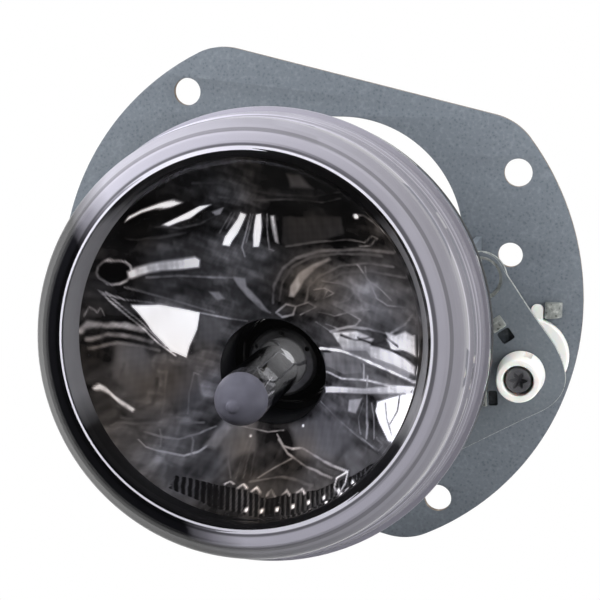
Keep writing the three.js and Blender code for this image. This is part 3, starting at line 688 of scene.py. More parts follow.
def frame_piece():
    y0, y1 = -20.6, -19.4
    disc = flat_mesh([circle(0, FRAME_CZ, 42.5, 160)], y0, y1, 0.12)
    ear = flat_mesh([smooth_path(EAR, n=4) + [(22, -30), (22, 10)]], y0, y1, 0.2)
    lobe = flat_mesh([rect(-43.4, -30, 4, 18, 3.0, 6)], y0, y1, 0.12)
    # extruded collar: a soft flare out of the sheet
    collar = mesh_of(*turned(rounded([(3.9, y0 + 0.1), (6.4, y0 + 0.1), (6.4, y1 - 0.1), (5.35, y1 + 0.3), (5.2, y1 + 1.2), (3.9, y1 + 1.2)], 0.25, 3), 64, y_pt(44.3, 9.9)))
    parts = [("UNION", ear), ("UNION", lobe), ("UNION", collar)]
    parts.append(("DIFFERENCE", tool_cyl(24.8, y0 - 3, y1 + 3, 0, FRAME_CZ, n=128)))
    bore = mesh_of(*turned(rounded([(0, y0 - 3), (6.3, y0 - 3), (5.3, y0 - 0.05), (4.45, y0 + 0.75), (4.3, y1 + 3), (0, y1 + 3)], [0, 0.1, 0.5, 0.6, 0.1, 0], 4, closed=False), 64, y_pt(44.3, 9.9)))
    parts.append(("DIFFERENCE", bore))
    parts.append(("DIFFERENCE", tool_cyl(4.9, y0 - 3, y1 + 3, *ADJ)))
    for s in SCREWS:
        parts.append(("DIFFERENCE", tool_cyl(2.3, y0 - 3, y1 + 3, *s)))
    for side in (1, -1):
        def xs(a, b):
            return (a, b) if side > 0 else (-b, -a)
        parts.append(("DIFFERENCE", tool_box(*xs(30.2, 38.7), y0 - 3, y1 + 3, 7.4, 15.6, 0.9)))
        tab = flat_mesh([rounded([(y1 - 0.6, 8.3), (HINGE[0] + 3.7, 8.3), (HINGE[0] + 3.7, 15.4), (y1 - 0.6, 15.4)], [0.1, 3.2, 3.2, 0.1], 8)], *xs(38.9, 40.1), 0.1, "X", 1)
        tab = combine(tab, [("DIFFERENCE", tool_cyl(2.08, *xs(36.9, 42.1), HINGE[0], HINGE[1], "X"))])
        parts.append(("UNION", tab))
    me = combine(disc, parts)
    # Claws: a blind pocket, and a tongue bent up out of the sheet beside it
    tools = []
    for x, z, w, h, dx, dz, tw, t in CLAWS:
        tools.append(("DIFFERENCE", tool_box(x - w / 2, x + w / 2, y0 - 3, y1 - 0.3, z - h / 2, z + h / 2, 0.5, t)))
    me = combine(me, tools)
    ups = []
    for x, z, w, h, dx, dz, tw, t in CLAWS:
        q = tw / 2
        prof = smooth_path([(-q - 1.0, y0 + 0.3), (-q - 0.2, y0 - 0.35), (-q + 0.4, y0 - 1.1), (0.0, y0 - 1.48), (q, y0 - 1.5), (q + 0.25, y0 - 1.0), (q + 0.1, y0 - 0.3), (q, y0 + 0.4), (0.0, y0 + 0.55), (-q, y0 + 0.55)], closed=True, n=4)
        me2 = flat_mesh([prof], -h / 2, h / 2, 0.1, "Z", 1)
        # local (x, y, z): x across, y depth, z along the tongue's width
        c, s = math.cos(t), math.sin(t)
        me2.transform(Matrix(((c, 0, -s, (x + dx) * MM), (0, 1, 0, 0), (s, 0, c, (z + dz) * MM), (0, 0, 0, 1))))
        ups.append(("UNION", me2))
    me = combine(me, ups)

    def pick(c, n):
        # painted shade: the floor of each claw pocket takes the dark pocket finish
        for x, z, w, h, dx, dz, tw, t in CLAWS:
            u = (c[0] - x) * math.cos(t) + (c[2] - z) * math.sin(t)
            v = -(c[0] - x) * math.sin(t) + (c[2] - z) * math.cos(t)
            if abs(u) < w / 2 + 0.05 and abs(v) < h / 2 + 0.05 and y0 + 0.15 < c[1] < y1 - 0.2:
                return 2
        # painted highlight: the bent-up tongues and the cut edges take the bright edge finish
        if c[1] < y0 - 0.05 and c[0] > 40:
            return 1
        return 1 if abs(n.y) < 0.9 and c[1] < y1 + 0.1 else 0

    ob = finish_mesh("tilt_frame_sheet", me, "lamp", "frame_steel", [M_FRAME, M_EDGE_HIGHLIGHT, M_PAINTED_POCKET_SHADE], 32, pick)
    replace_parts(ob, "tilt_frame")


frame_piece()


# ---------------------------------------------------------------- housing
def housing_piece():
    n = 160

    def L(r, s):
        return [lens_pt(r, s, 2 * PI * i / n) for i in range(n)]

    def Y(r, y, z0):
        return [y_pt(0, z0)(r, y, 2 * PI * i / n) for i in range(n)]

    rings = [
        L(50.0, -3.5), L(50.2, -3.7), L(50.2, -6.3), L(49.9, -6.5), L(46.6, -6.5), L(46.0, -7.0), L(45.4, -9), L(44.6, -12), L(43.6, -15),
        Y(41.4, -20.2 - 2.5, -1.6), Y(39.6, -25.0, -2.4), Y(38.2, -27.2, -2.9), Y(37.6, -27.0, -3), Y(34.9, -23.9, -3.5), Y(34.3, -23.5, -3.5),
        Y(18.2, -23.5, BULB_Z), Y(17.3, -23.1, BULB_Z), Y(17.1, -21, BULB_Z), Y(16.6, -12.4, BULB_Z), Y(16.3, -12, BULB_Z),
        Y(11.2, -12, BULB_Z), Y(11, -12.2, BULB_Z), Y(11, -16.4, BULB_Z), Y(13.2, -16.4, BULB_Z), Y(13.2, -20, BULB_Z), Y(11, -20, BULB_Z), Y(11, -26, BULB_Z), Y(15, -26, BULB_Z), Y(31.8, -26, -3.5),
        Y(35.6, -28.8, -3), L(41.4, -15), L(43.4, -6.5), L(43.4, -3.5),
    ]
    # keep the back of the bowl on one gentle sweep
    v, f = skin(rings)
    me = mesh_of(v, f)
    parts = []
    for s in SCREWS:
        parts.append(("UNION", mesh_of(*turned([(0, -25.2), (4.6, -25.2), (4.2, -21.2), (3.9, -20.9), (0, -20.9)], 40, y_pt(*s)))))
    parts.append(("UNION", mesh_of(*turned([(0, -25), (3.2, -25), (2.6, -22.6), (2.6, -15.4), (2.3, -15), (0, -15)], 40, y_pt(0, 14)))))
    # Stiffening ribs from the neck to the screw bosses
    for d in (52, 128, 232, 308, 0, 180):
        a = math.radians(d)
        rib = flat_mesh([rect(17.0, 27.0 if d in (0, 180) else 23.0, -0.55, 0.55, 0.3, 2)], -24.2, -20.9, 0.15, "Y", 1)
        rib.transform(Matrix(((math.cos(a), 0, -math.sin(a), 0), (0, 1, 0, 0), (math.sin(a), 0, math.cos(a), BULB_Z * MM * 0.75), (0, 0, 0, 1))))
        parts.append(("UNION", rib))
    for s in SCREWS:
        parts.append(("DIFFERENCE", tool_cyl(2.1, -24.9, -20, *s)))
    parts.append(("DIFFERENCE", tool_cyl(1.4, -30, -10, 0, 14)))
    for d in (90, 210, 330):
        a = math.radians(d)
        cx, cz = 11.2 * math.cos(a), BULB_Z + 11.2 * math.sin(a)
        parts.append(("DIFFERENCE", tool_box(cx - 1.95, cx + 1.95, -17, -11, cz - 2.7, cz + 2.7, 0.4, a)))
    me = combine(me, parts)
    ob = finish_mesh("housing_bowl", me, "lamp", "black_housing", M_HOUSING, 32)
    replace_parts(ob, "housing")


housing_piece()

for i, s in enumerate(SCREWS):
    me = mesh_of(*turned(rounded([(0, -24.6), (1.3, -24.6), (1.8, -23.8), (1.8, -19.1), (3.7, -19.1), (3.7, -17.9), (3.1, -17.1), (0, -16.8)], [0, 0.2, 0.2, 0.15, 0.2, 0.3, 0.4, 0], 3, closed=False), 40, y_pt(*s)))
    cuts = [("DIFFERENCE", tool_box(s[0] - 0.5, s[0] + 0.5, -18.4, -16, s[1] - 1.6, s[1] + 1.6, 0.3, k * PI / 3)) for k in range(3)]
    ob = finish_mesh("frame_screw_piece_%d" % (i + 1), combine(me, cuts), "lamp", "zinc_hardware", M_ZINC, 30)
    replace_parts(ob, "frame_screw_%d" % (i + 1))

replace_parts(turn("breather_cap_piece", [(2.9, -19.2), (4.2, -19.2), (4.2, -13.2), (3.6, -12.6), (1.0, -12.6), (1.0, -14.2), (2.9, -14.2)], 48, y_pt(0, 14), "lamp", "black_rubber", M_RUBBER, 0.3, 3), "breather_cap")

# ---------------------------------------------------------------- lens
LENS = [
    (0, 31.0, 0), (20, 28.8, 30), (31, 25.9, 25), (38.6, 22.75, 1.2), (40.2, 22.95, 1.0), (41.8, 22.65, 1.0), (42.9, 22.2, 1.2), (44.2, 21.0, 2.0),
    (46.4, 18.2, 1.6), (46.9, 17.4, 0.5), (47.2, 16.2, 0.8), (47.6, 12.2, 0.3), (48.2, 11.6, 0.35), (48.4, 7.8, 0.3), (48.9, 7.2, 0.35),
    (49.1, 3.4, 0.3), (50.4, 2.6, 0.5), (50.4, -1.2, 0.35),
    (48.2, -1.2, 0.2), (48.0, 0.4, 0.2), (46.9, 1.0, 0.3), (45.3, 10.8, 2.0), (44.4, 15.8, 1.2), (42.8, 18.4, 1.0), (41.2, 19.0, 0.8), (40.7, 19.125, 0), (40.2, 19.25, 0),
    (37.6, 19.9, 0.6), (30, 23.0, 25), (20, 25.6, 30), (0, 27.8, 0),
]


def lens_piece():
    prof = rounded([(r, s) for r, s, _ in LENS], [q for _, _, q in LENS], 6, closed=False)
    v, f = turned(prof, 320, lens_pt)
    me = mesh_of(v, f)

    def pick(c, n):
        p = np.array(c) - LENS_O
        s = float(p @ AX)
        r = math.hypot(p[0], float(p @ AV))
        out = (n.x * p[0] + (n.y * AV[1] + n.z * AV[2]) * float(p @ AV)) / max(r, 1.0)
        # painted highlight: a thin ring on the window's inner rim takes the white rim finish
        if 40.2 < r < 40.7 and 18.9 < s < 19.4:
            return 2
        # painted light and shade: the flange and the inner wall of the skirt take the painted skirt finish
        if s < -0.9 and r > 47.9:
            return 1
        return 1 if -1.0 < s < 19.4 and out < -0.2 and r > 40.7 else 0

    ob = finish_mesh("lens_cup", me, "lamp", "clear_lens", [M_GLASS, M_LENS_SKIRT_PAINTED_LIGHT, M_RIM_HIGHLIGHT], 28, pick)
    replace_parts(ob, "lens")


lens_piece()
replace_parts(turn("lens_seal_ring", [(46.8, -1.5), (49.8, -1.5), (49.8, -3.2), (46.8, -3.2)], 160, lens_pt, "lamp", "black_rubber", M_RUBBER, 0.4, 3), "lens_seal")
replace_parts(turn("masking_ring_trim", [(41.6, 9.8), (39.1, 9.9), (39.7, 13.0), (40.7, 17.6), (41.3, 17.6), (42.0, 12.0)], 240, lens_pt, "lamp", "grey_trim", M_PAINTED_SHADE_TRIM, 0.12, 3), "masking_ring")

# ---------------------------------------------------------------- reflector
HOLE_R, HOLE_Y, RIM_R, RIM_S = 12.1, -41.0, 40.0, 9.5


def bowl(t, a):
    ca, sa = np.cos(a), np.sin(a)
    h = np.stack([HOLE_R * ca, np.full_like(ca, HOLE_Y), BULB_Z + HOLE_R * sa], -1)
    e = LENS_O + AX * RIM_S + RIM_R * ca[..., None] * np.array([1.0, 0, 0]) + RIM_R * sa[..., None] * AV
    r = HOLE_R + (RIM_R - HOLE_R) * t
    g = (r * r - HOLE_R ** 2) / (RIM_R ** 2 - HOLE_R ** 2)
    return np.stack([h[..., 0] + (e[..., 0] - h[..., 0]) * t, h[..., 1] + (e[..., 1] - h[..., 1]) * g, h[..., 2] + (e[..., 2] - h[..., 2]) * t], -1)


def bowl_normal(t, a):
    d = 1e-3
    n = np.cross(bowl(t + d, a) - bowl(t - d, a), bowl(t, a + d) - bowl(t, a - d))
    n /= np.linalg.norm(n, axis=-1, keepdims=True)
    return np.where(n[..., 1:2] > 0, n, -n)


# Painted reflections and highlights on the bowl, each with a shallow real relief: kind, brightness, width or softness
# in mm, points (x, z) in mm
PAINTED_REFLECTIONS_WITH_RELIEF = [
    ("poly", 0.32, 1.2, [(-33.0, -2.5), (-28.0, -4.0), (-24.5, -12.0), (-28.5, -15.0), (-33.0, -10.0)]),
    ("poly", 0.3, 1.0, [(-22.5, -8.0), (-17.5, -9.5), (-15.5, -17.0), (-21.0, -19.5), (-24.0, -14.0)]),
    ("poly", 0.5, 0.6, [(13.0, -3.5), (24.0, -2.0), (34.0, -4.0), (33.0, -6.5), (20.0, -6.0), (13.5, -6.0)]),
    ("poly", 0.42, 1.0, [(14.0, -7.5), (26.0, -8.0), (33.0, -9.5), (30.0, -13.0), (20.0, -11.5)]),
    ("poly", 0.34, 1.6, [(4.0, -22.0), (12.0, -19.0), (20.0, -22.0), (16.0, -27.0), (7.0, -27.0)]),
    ("poly", 0.36, 1.2, [(-10.0, -20.0), (-4.0, -21.0), (-3.0, -27.0), (-9.0, -28.0), (-13.0, -24.0)]),
    ("dot", 1.0, 0.6, [(-1.2, -36.2)]),
    ("dot", 1.0, 0.6, [(2.2, -36.2)]),
    ("dot", 1.0, 0.6, [(5.6, -35.7)]),
    ("dot", 1.0, 0.6, [(9.0, -34.9)]),
    ("dot", 1.0, 0.6, [(12.4, -33.8)]),
    ("dot", 1.0, 0.6, [(15.8, -32.5)]),
    ("dot", 1.0, 0.6, [(19.0, -30.8)]),
    ("dot", 1.0, 0.6, [(22.0, -28.8)]),
    ("line", 0.9, 0.4, [(-7.40, -32.90), (-6.50, -32.25), (-5.50, -32.85)]),
    ("line", 0.9, 0.4, [(-4.30, -33.50), (-3.40, -32.85), (-2.40, -33.45)]),
    ("line", 0.9, 0.4, [(-1.10, -33.90), (-0.20, -33.25), (0.80, -33.85)]),
    ("line", 0.9, 0.4, [(2.30, -34.00), (3.20, -33.35), (4.20, -33.95)]),
    ("line", 0.9, 0.4, [(5.70, -33.50), (6.60, -32.85), (7.60, -33.45)]),
    ("line", 0.9, 0.4, [(9.10, -32.80), (10.00, -32.15), (11.00, -32.75)]),
    ("line", 0.85, 0.5, [(-32.8 + 3.3 * math.cos(0.45 * k), 13.4 + 2.9 * math.sin(0.45 * k)) for k in range(15)]),
    ("poly", 0.04, 0.3, [(-32.9 + 2.7 * math.cos(0.4 * k), 13.4 + 2.2 * math.sin(0.4 * k)) for k in range(16)]),
    ("poly", 1.0, 0.25, [(-30.1, 24.5), (-29.1, 25.9), (-26.4, 27.3), (-22.7, 28.7), (-19.7, 29.5), (-17.8, 29.3), (-20.5, 28.2), (-23.7, 27.4), (-26.4, 26.6), (-28.7, 25.4)]),
    ("poly", 1.0, 0.25, [(-22.8, 23.9), (-18.7, 25.9), (-16.4, 27.2), (-14.4, 28.4), (-11.7, 28.7), (-14.5, 26.9), (-16.6, 25.3), (-19.2, 24.4), (-21.3, 23.5)]),
    ("poly", 0.8, 0.2, [(-11.9, 26.8), (-9.2, 27.9), (-10.1, 26.3), (-11.1, 26.1)]),
    ("poly", 1.0, 0.2, [(-10.3, 19.1), (-9.6, 21.0), (-8.4, 22.7), (-6.5, 25.2), (-5.6, 26.9), (-4.3, 26.4), (-5.4, 24.2), (-6.6, 22.0), (-8.1, 19.9), (-8.7, 18.8)]),
    ("poly", 1.0, 0.2, [(-3.5, 18.7), (-3.3, 21.5), (-2.8, 24.2), (-2.2, 26.5), (-1.0, 26.7), (-1.1, 23.7), (-1.6, 21.0), (-2.2, 18.8)]),
    ("poly", 0.95, 0.2, [(1.0, 26.3), (1.9, 26.4), (2.2, 23.3), (2.4, 19.8), (1.6, 20.3), (1.1, 23.3)]),
    ("line", 0.6, 0.3, [(-7.7, 26.7), (-9.9, 23.2), (-10.7, 21.9)]),
    ("line", 0.5, 0.3, [(-6.9, 26.6), (-9.1, 23.0)]),
    ("line", 0.6, 0.3, [(-3.4, 26.5), (-4.7, 22.5), (-6.0, 18.6), (-5.4, 16.5)]),
    ("line", 0.45, 0.3, [(-2.9, 26.4), (-4.1, 22.6), (-5.0, 19.7)]),
    ("line", 0.6, 0.3, [(0.3, 26.6), (0.0, 22.7), (0.1, 18.3), (1.0, 18.0)]),
    ("poly", 0.9, 0.5, [(-30.5, 13.3), (-28.9, 14.1), (-26.0, 14.9), (-22.6, 15.5), (-19.0, 16.0), (-16.5, 16.5), (-15.4, 15.7), (-15.7, 14.0), (-19.8, 13.5), (-23.7, 13.3), (-26.6, 12.6), (-29.7, 11.6), (-30.3, 11.9)]),
    ("line", 0.8, 0.35, [(-36.3, 9.4), (-31.2, 6.9), (-24.7, 5.7), (-17.2, 3.5), (-10.0, 2.0), (-5.7, 1.5)]),
    ("line", 0.45, 0.5, [(-31.1, 9.7), (-25.0, 7.5), (-18.3, 5.1), (-13.1, 3.4)]),
    ("poly", 1.0, 0.2, [(-30.1, 5.6), (-24.7, 5.5), (-16.2, 3.4), (-16.9, -0.5), (-18.6, -4.4), (-19.3, -7.1), (-22.5, -5.4), (-26.2, -0.7)]),
    ("poly", 0.33, 0.8, [(-15.7, 2.8), (-11.1, 0.8), (-13.4, -5.0), (-17.8, -5.5)]),
    ("line", 0.9, 0.4, [(-36.3, 9.4), (-30.4, 2.8), (-24.8, -3.6), (-21.5, -6.5)]),
    ("line", 0.8, 0.3, [(-35.2, 9.2), (-29.4, 2.8), (-23.5, -4.3)]),
    ("line", 0.75, 1.3, [(-39.1, 0.9), (-37.9, 2.2), (-35.3, 1.5), (-31.4, 1.2), (-28.1, -0.1)]),
    ("line", 0.5, 0.9, [(-37.8, -1.1), (-34.4, -0.5), (-30.5, -1.4), (-26.3, -3.1)]),
    ("line", 0.4, 0.7, [(-37.4, -3.1), (-32.6, -2.6), (-28.2, -3.9), (-24.9, -5.1)]),
    ("line", 0.7, 0.3, [(-38.5, 4.1), (-37.6, 5.9), (-36.9, 4.7), (-36.3, 5.7), (-35.2, 3.8)]),
    ("line", 0.5, 0.5, [(-26.7, 11.7), (-20.8, 12.1), (-12.6, 11.6), (-8.4, 11.6), (-7.2, 10.0), (-4.9, 7.2), (-2.2, 5.3), (-0.4, 3.7)]),
    ("poly", 0.55, 0.4, [(-8.3, 11.9), (-5.7, 11.6), (-5.5, 9.7), (-2.5, 6.4), (-0.6, 3.7), (-2.3, 4.3), (-5.4, 7.2), (-7.4, 9.7)]),
    ("poly", 0.5, 0.5, [(-13.9, 8.2), (-11.8, 8.2), (-10.6, 6.7), (-12.2, 6.2)]),
    ("poly", 0.72, 0.5, [(4.2, 7.8), (4.6, 10.2), (6.4, 13.0), (9.9, 15.5), (13.9, 17.3), (14.3, 16.9), (10.4, 14.5), (7.5, 11.5), (6.3, 9.2), (5.3, 7.7)]),
    ("line", 0.38, 0.7, [(0.3, 6.0), (0.7, 9.9), (2.9, 14.0), (6.1, 16.6), (11.7, 18.7), (20.2, 19.8), (29.2, 20.0)]),
    ("line", 0.3, 0.6, [(1.9, 6.6), (2.7, 10.6), (4.9, 14.3), (9.4, 17.1), (16.7, 18.6), (26.3, 18.9)]),
    ("line", 0.35, 0.5, [(7.8, 6.5), (8.5, 9.9), (11.4, 12.8), (16.5, 15.7), (22.3, 16.8), (29.0, 16.8)]),
    ("line", 0.3, 0.5, [(10.0, 7.2), (12.5, 11.3), (17.0, 14.1), (23.4, 15.0), (31.8, 14.8)]),
    ("line", 0.55, 0.35, [(20.6, 16.4), (23.3, 12.8), (24.9, 9.2), (27.2, 7.9), (31.8, 8.2)]),
    ("line", 0.5, 0.35, [(22.3, 16.0), (22.7, 13.3), (26.1, 11.0), (28.3, 9.2)]),
    ("line", 0.6, 0.35, [(9.6, 9.4), (12.4, 10.2), (14.6, 9.2), (11.8, 7.6), (13.0, 9.6)]),
    ("line", 0.6, 0.4, [(10.5, 4.4), (14.5, 3.9), (17.8, 5.1), (20.8, 3.8), (19.6, 2.3), (15.5, 1.0), (12.1, 1.8)]),
    ("line", 0.55, 0.35, [(9.9, 2.1), (13.2, 0.2), (17.2, -0.4), (20.2, 0.8)]),
    ("line", 0.45, 0.35, [(11.9, 11.8), (16.4, 11.5), (19.8, 10.2), (18.0, 7.9), (14.5, 6.5), (17.8, 5.1), (23.1, 6.4)]),
    ("line", 0.7, 0.5, [(1.0, 3.8), (3.4, 5.9), (5.6, 5.5), (4.9, 3.5), (2.4, 2.8), (1.0, 3.8)]),
    ("line", 0.5, 0.35, [(5.6, 5.5), (8.3, 6.5), (10.0, 5.5), (6.6, 3.6)]),
    ("line", 0.95, 0.6, [(20.5, 27.5), (22.5, 27.7), (25.0, 26.3), (27.3, 24.5)]),
    ("dot", 1.0, 1.0, [(20.6, 27.2)]),
    ("line", 0.5, 0.35, [(20.3, 21.7), (22.4, 21.5), (24.2, 23.2), (25.4, 22.8), (23.6, 20.9), (21.2, 20.5)]),
    ("poly", 0.2, 0.8, [(3.8, 26.2), (17.3, 26.9), (17.6, 23.1), (5.6, 18.5), (3.0, 20.1)]),
    ("line", 0.3, 0.5, [(4.0, 19.3), (10.6, 20.7), (17.9, 21.8), (20.3, 21.7)]),
    ("line", 0.22, 0.6, [(-15.3, 33.3), (-9.7, 33.3), (-2.9, 32.1), (5.0, 31.0), (11.5, 31.1), (17.6, 32.6)]),
    ("line", 0.3, 0.5, [(-10.0, 30.6), (-2.6, 29.9), (4.9, 30.3), (13.0, 29.8), (17.4, 31.1)]),
    ("line", 0.25, 0.5, [(-24.2, 23.6), (-18.9, 23.0), (-14.7, 24.0), (-11.4, 25.8)]),
    ("line", 0.2, 0.6, [(-30.3, 21.0), (-23.6, 20.8), (-18.0, 21.9)]),
    ("poly", 0.36, 1.0, [(5.5, 36.0), (8.5, 36.0), (11.1, 32.9), (6.2, 33.0)]),
    ("poly", 0.95, 0.2, [(-35.9, -10.9), (-28.3, -17.1), (-28.7, -17.7), (-36.3, -11.7)]),
    ("line", 0.22, 0.6, [(-33.3, -12.9), (-31.9, -10.6), (-31.2, -7.5)]),
    ("line", 0.2, 0.8, [(-27.6, -17.2), (-25.4, -16.5), (-25.0, -11.4)]),
    ("line", 0.5, 0.4, [(-18.3, -19.3), (-18.5, -15.1), (-17.7, -10.6), (-16.7, -11.0)]),
    ("line", 0.35, 0.5, [(-23.4, -18.7), (-23.4, -13.7), (-23.2, -9.9)]),
    ("line", 0.3, 0.5, [(-31.9, -19.6), (-26.2, -20.2), (-18.7, -21.3), (-14.8, -21.4)]),
    ("line", 0.25, 0.4, [(-30.9, -18.7), (-25.5, -19.3), (-19.0, -19.7)]),
    ("line", 0.55, 0.4, [(-26.9, -23.4), (-25.2, -25.0), (-21.9, -25.9), (-17.4, -27.2), (-14.7, -26.7), (-12.2, -25.0), (-9.6, -22.8)]),
    ("line", 0.4, 0.4, [(-25.9, -21.8), (-22.5, -23.2), (-19.2, -24.0), (-15.4, -23.5), (-12.2, -22.3)]),
    ("poly", 0.45, 0.6, [(-14.0, -25.8), (-10.5, -21.9), (-8.8, -22.7), (-11.3, -26.4)]),
    ("line", 0.4, 0.3, [(-22.3, -24.9), (-22.5, -23.2), (-23.1, -21.7)]),
    ("line", 0.35, 0.3, [(-16.0, -27.0), (-16.2, -24.7), (-16.8, -23.8)]),
    ("line", 0.3, 0.3, [(-8.6, -26.1), (-8.1, -28.7), (-6.6, -31.6)]),
    ("line", 0.25, 0.25, [(-4.6, -25.3), (-5.5, -28.8), (-5.5, -31.7)]),
    ("line", 0.25, 0.25, [(-3.8, -25.2), (-4.1, -28.8), (-3.9, -31.6)]),
    ("line", 0.2, 0.25, [(-2.8, -25.7), (-2.8, -28.7), (-2.4, -31.6)]),
    ("line", 0.55, 0.35, [(1.8, -24.6), (4.7, -27.0), (10.2, -28.9), (16.7, -29.3)]),
    ("line", 0.7, 0.4, [(5.6, -26.1), (8.0, -25.7), (14.2, -27.3), (20.3, -27.5)]),
    ("line", 0.6, 0.3, [(1.3, -23.7), (3.3, -25.8), (5.6, -26.1)]),
    ("line", 0.4, 0.3, [(-0.7, -31.5), (2.1, -29.8), (6.1, -27.7)]),
    ("line", 0.3, 0.5, [(-2.1, -32.3), (4.3, -31.2), (12.3, -31.3)]),
    ("line", 0.85, 0.35, [(20.3, -27.5), (17.8, -29.1), (17.9, -30.6), (19.3, -31.3), (20.3, -29.5), (20.3, -27.5)]),
    ("dot", 0.95, 0.5, [(7.2, -21.5)]),
    ("dot", 0.85, 0.45, [(-4.5, -24.3)]),
    ("line", 0.6, 0.3, [(-8.1, -22.2), (-4.7, -22.9), (-0.8, -23.4), (2.6, -22.8)]),
    ("poly", 0.5, 0.2, [(11.4, -4.8), (14.9, -4.6), (20.8, -5.9), (21.2, -8.0), (16.8, -9.1), (12.0, -7.9)]),
    ("line", 0.95, 0.6, [(10.8, -3.9), (16.2, -3.9), (22.2, -5.2), (28.3, -6.4), (34.7, -7.2)]),
    ("line", 0.9, 0.5, [(12.1, -9.1), (16.2, -10.2), (22.3, -9.5), (29.9, -9.4)]),
    ("poly", 0.9, 0.3, [(11.8, -12.5), (22.5, -11.3), (30.4, -8.8), (34.8, -8.0), (33.6, -9.7), (22.5, -12.4), (12.1, -13.9)]),
    ("line", 0.7, 0.4, [(21.6, -6.1), (21.8, -9.4), (29.9, -9.4)]),
    ("poly", 0.97, 0.25, [(25.4, -13.3), (30.0, -11.2), (34.8, -9.1), (33.9, -12.1), (32.6, -16.7), (30.7, -20.0), (29.2, -19.9), (26.4, -17.4), (25.0, -15.3)]),
    ("line", 0.1, 0.35, [(27.6, -13.2), (28.3, -15.9), (30.2, -18.8)]),
    ("line", 0.1, 0.3, [(31.2, -10.9), (30.9, -13.9), (29.4, -16.7)]),
    ("poly", 0.8, 0.4, [(18.3, -14.5), (21.7, -13.5), (20.4, -16.9), (18.2, -16.8)]),
    ("line", 0.6, 0.5, [(22.8, -8.6), (23.0, -14.3), (23.5, -20.9)]),
    ("line", 0.5, 0.3, [(24.2, -14.0), (25.5, -20.4)]),
    ("line", 0.55, 0.3, [(22.1, -14.5), (21.2, -17.7), (21.9, -20.4)]),
    ("line", 0.5, 0.35, [(10.9, -15.9), (15.5, -18.8), (21.1, -21.0), (27.1, -22.3)]),
    ("line", 0.4, 0.3, [(26.1, -20.2), (28.2, -21.0), (27.1, -22.3)]),
    ("poly", 0.85, 0.5, [(13.3, 0.0), (19.8, 1.1), (24.0, -0.2), (19.2, -2.1), (15.0, -2.0)]),
    ("poly", 0.8, 0.5, [(21.5, -1.7), (27.0, -1.7), (30.6, -2.2), (34.5, -4.0), (34.5, -5.7), (28.3, -4.8), (23.5, -4.2)]),
    ("poly", 0.85, 0.4, [(27.0, 1.9), (30.6, 1.4), (34.2, 2.6), (34.6, -1.8), (31.2, -1.1), (28.2, -0.6)]),
    ("poly", 0.8, 0.4, [(14.9, -1.2), (20.1, 1.0), (24.2, -0.0), (22.4, -2.9), (16.6, -3.7)]),
    ("poly", 0.85, 0.4, [(27.2, 0.4), (31.8, 3.0), (33.9, 2.3), (34.0, -0.7), (28.3, -1.8)]),
    ("line", 0.65, 0.6, [(13.2, 0.2), (17.9, 1.8), (23.1, 2.0), (27.8, 1.6), (31.7, 4.5), (33.5, 6.9)]),
    ("line", 0.12, 0.5, [(20.8, -0.5), (24.8, -1.0), (27.7, 0.6), (30.1, -0.5)]),
    ("line", 0.12, 0.5, [(20.4, -0.2), (24.0, -1.3), (28.2, -1.7), (33.1, -2.8)]),
    ("line", 0.15, 0.5, [(16.2, -0.2), (19.8, -0.9), (24.0, 0.4)]),
]


def seg_dist(px, pz, pts, closed):
    d = np.full(px.shape, 1e9)
    m = len(pts)
    for i in range(m if closed else m - 1):
        ax_, az_ = pts[i]
        bx, bz = pts[(i + 1) % m]
        vx, vz = bx - ax_, bz - az_
        L2 = vx * vx + vz * vz or 1e-9
        t = np.clip(((px - ax_) * vx + (pz - az_) * vz) / L2, 0, 1)
        d = np.minimum(d, np.hypot(px - ax_ - t * vx, pz - az_ - t * vz))
    return d


def inside(px, pz, pts):
    c = np.zeros(px.shape, bool)
    m = len(pts)
    for i in range(m):
        x0, z0 = pts[i]
        x1, z1 = pts[(i + 1) % m]
        if z0 == z1:
            continue
        k = ((z0 > pz) != (z1 > pz)) & (px < (x1 - x0) * (pz - z0) / (z1 - z0) + x0)
        c ^= k
    return c


def soft(d, w):
    k = np.clip(0.5 - d / max(w, 1e-3), 0, 1)
    return k * k * (3 - 2 * k)


def waves(x, z, seed):
    """A smooth pseudo-random field between about -1 and 1."""
    rs = np.random.RandomState(seed)
    out = np.zeros_like(x)
    for k in range(9):
        f = 0.12 * 1.5 ** k
        a = rs.uniform(0, 2 * PI)
        out += np.sin(f * (x * math.cos(a) + z * math.sin(a)) + rs.uniform(0, 2 * PI)) / (1.2 ** k)
    return out / 3.2


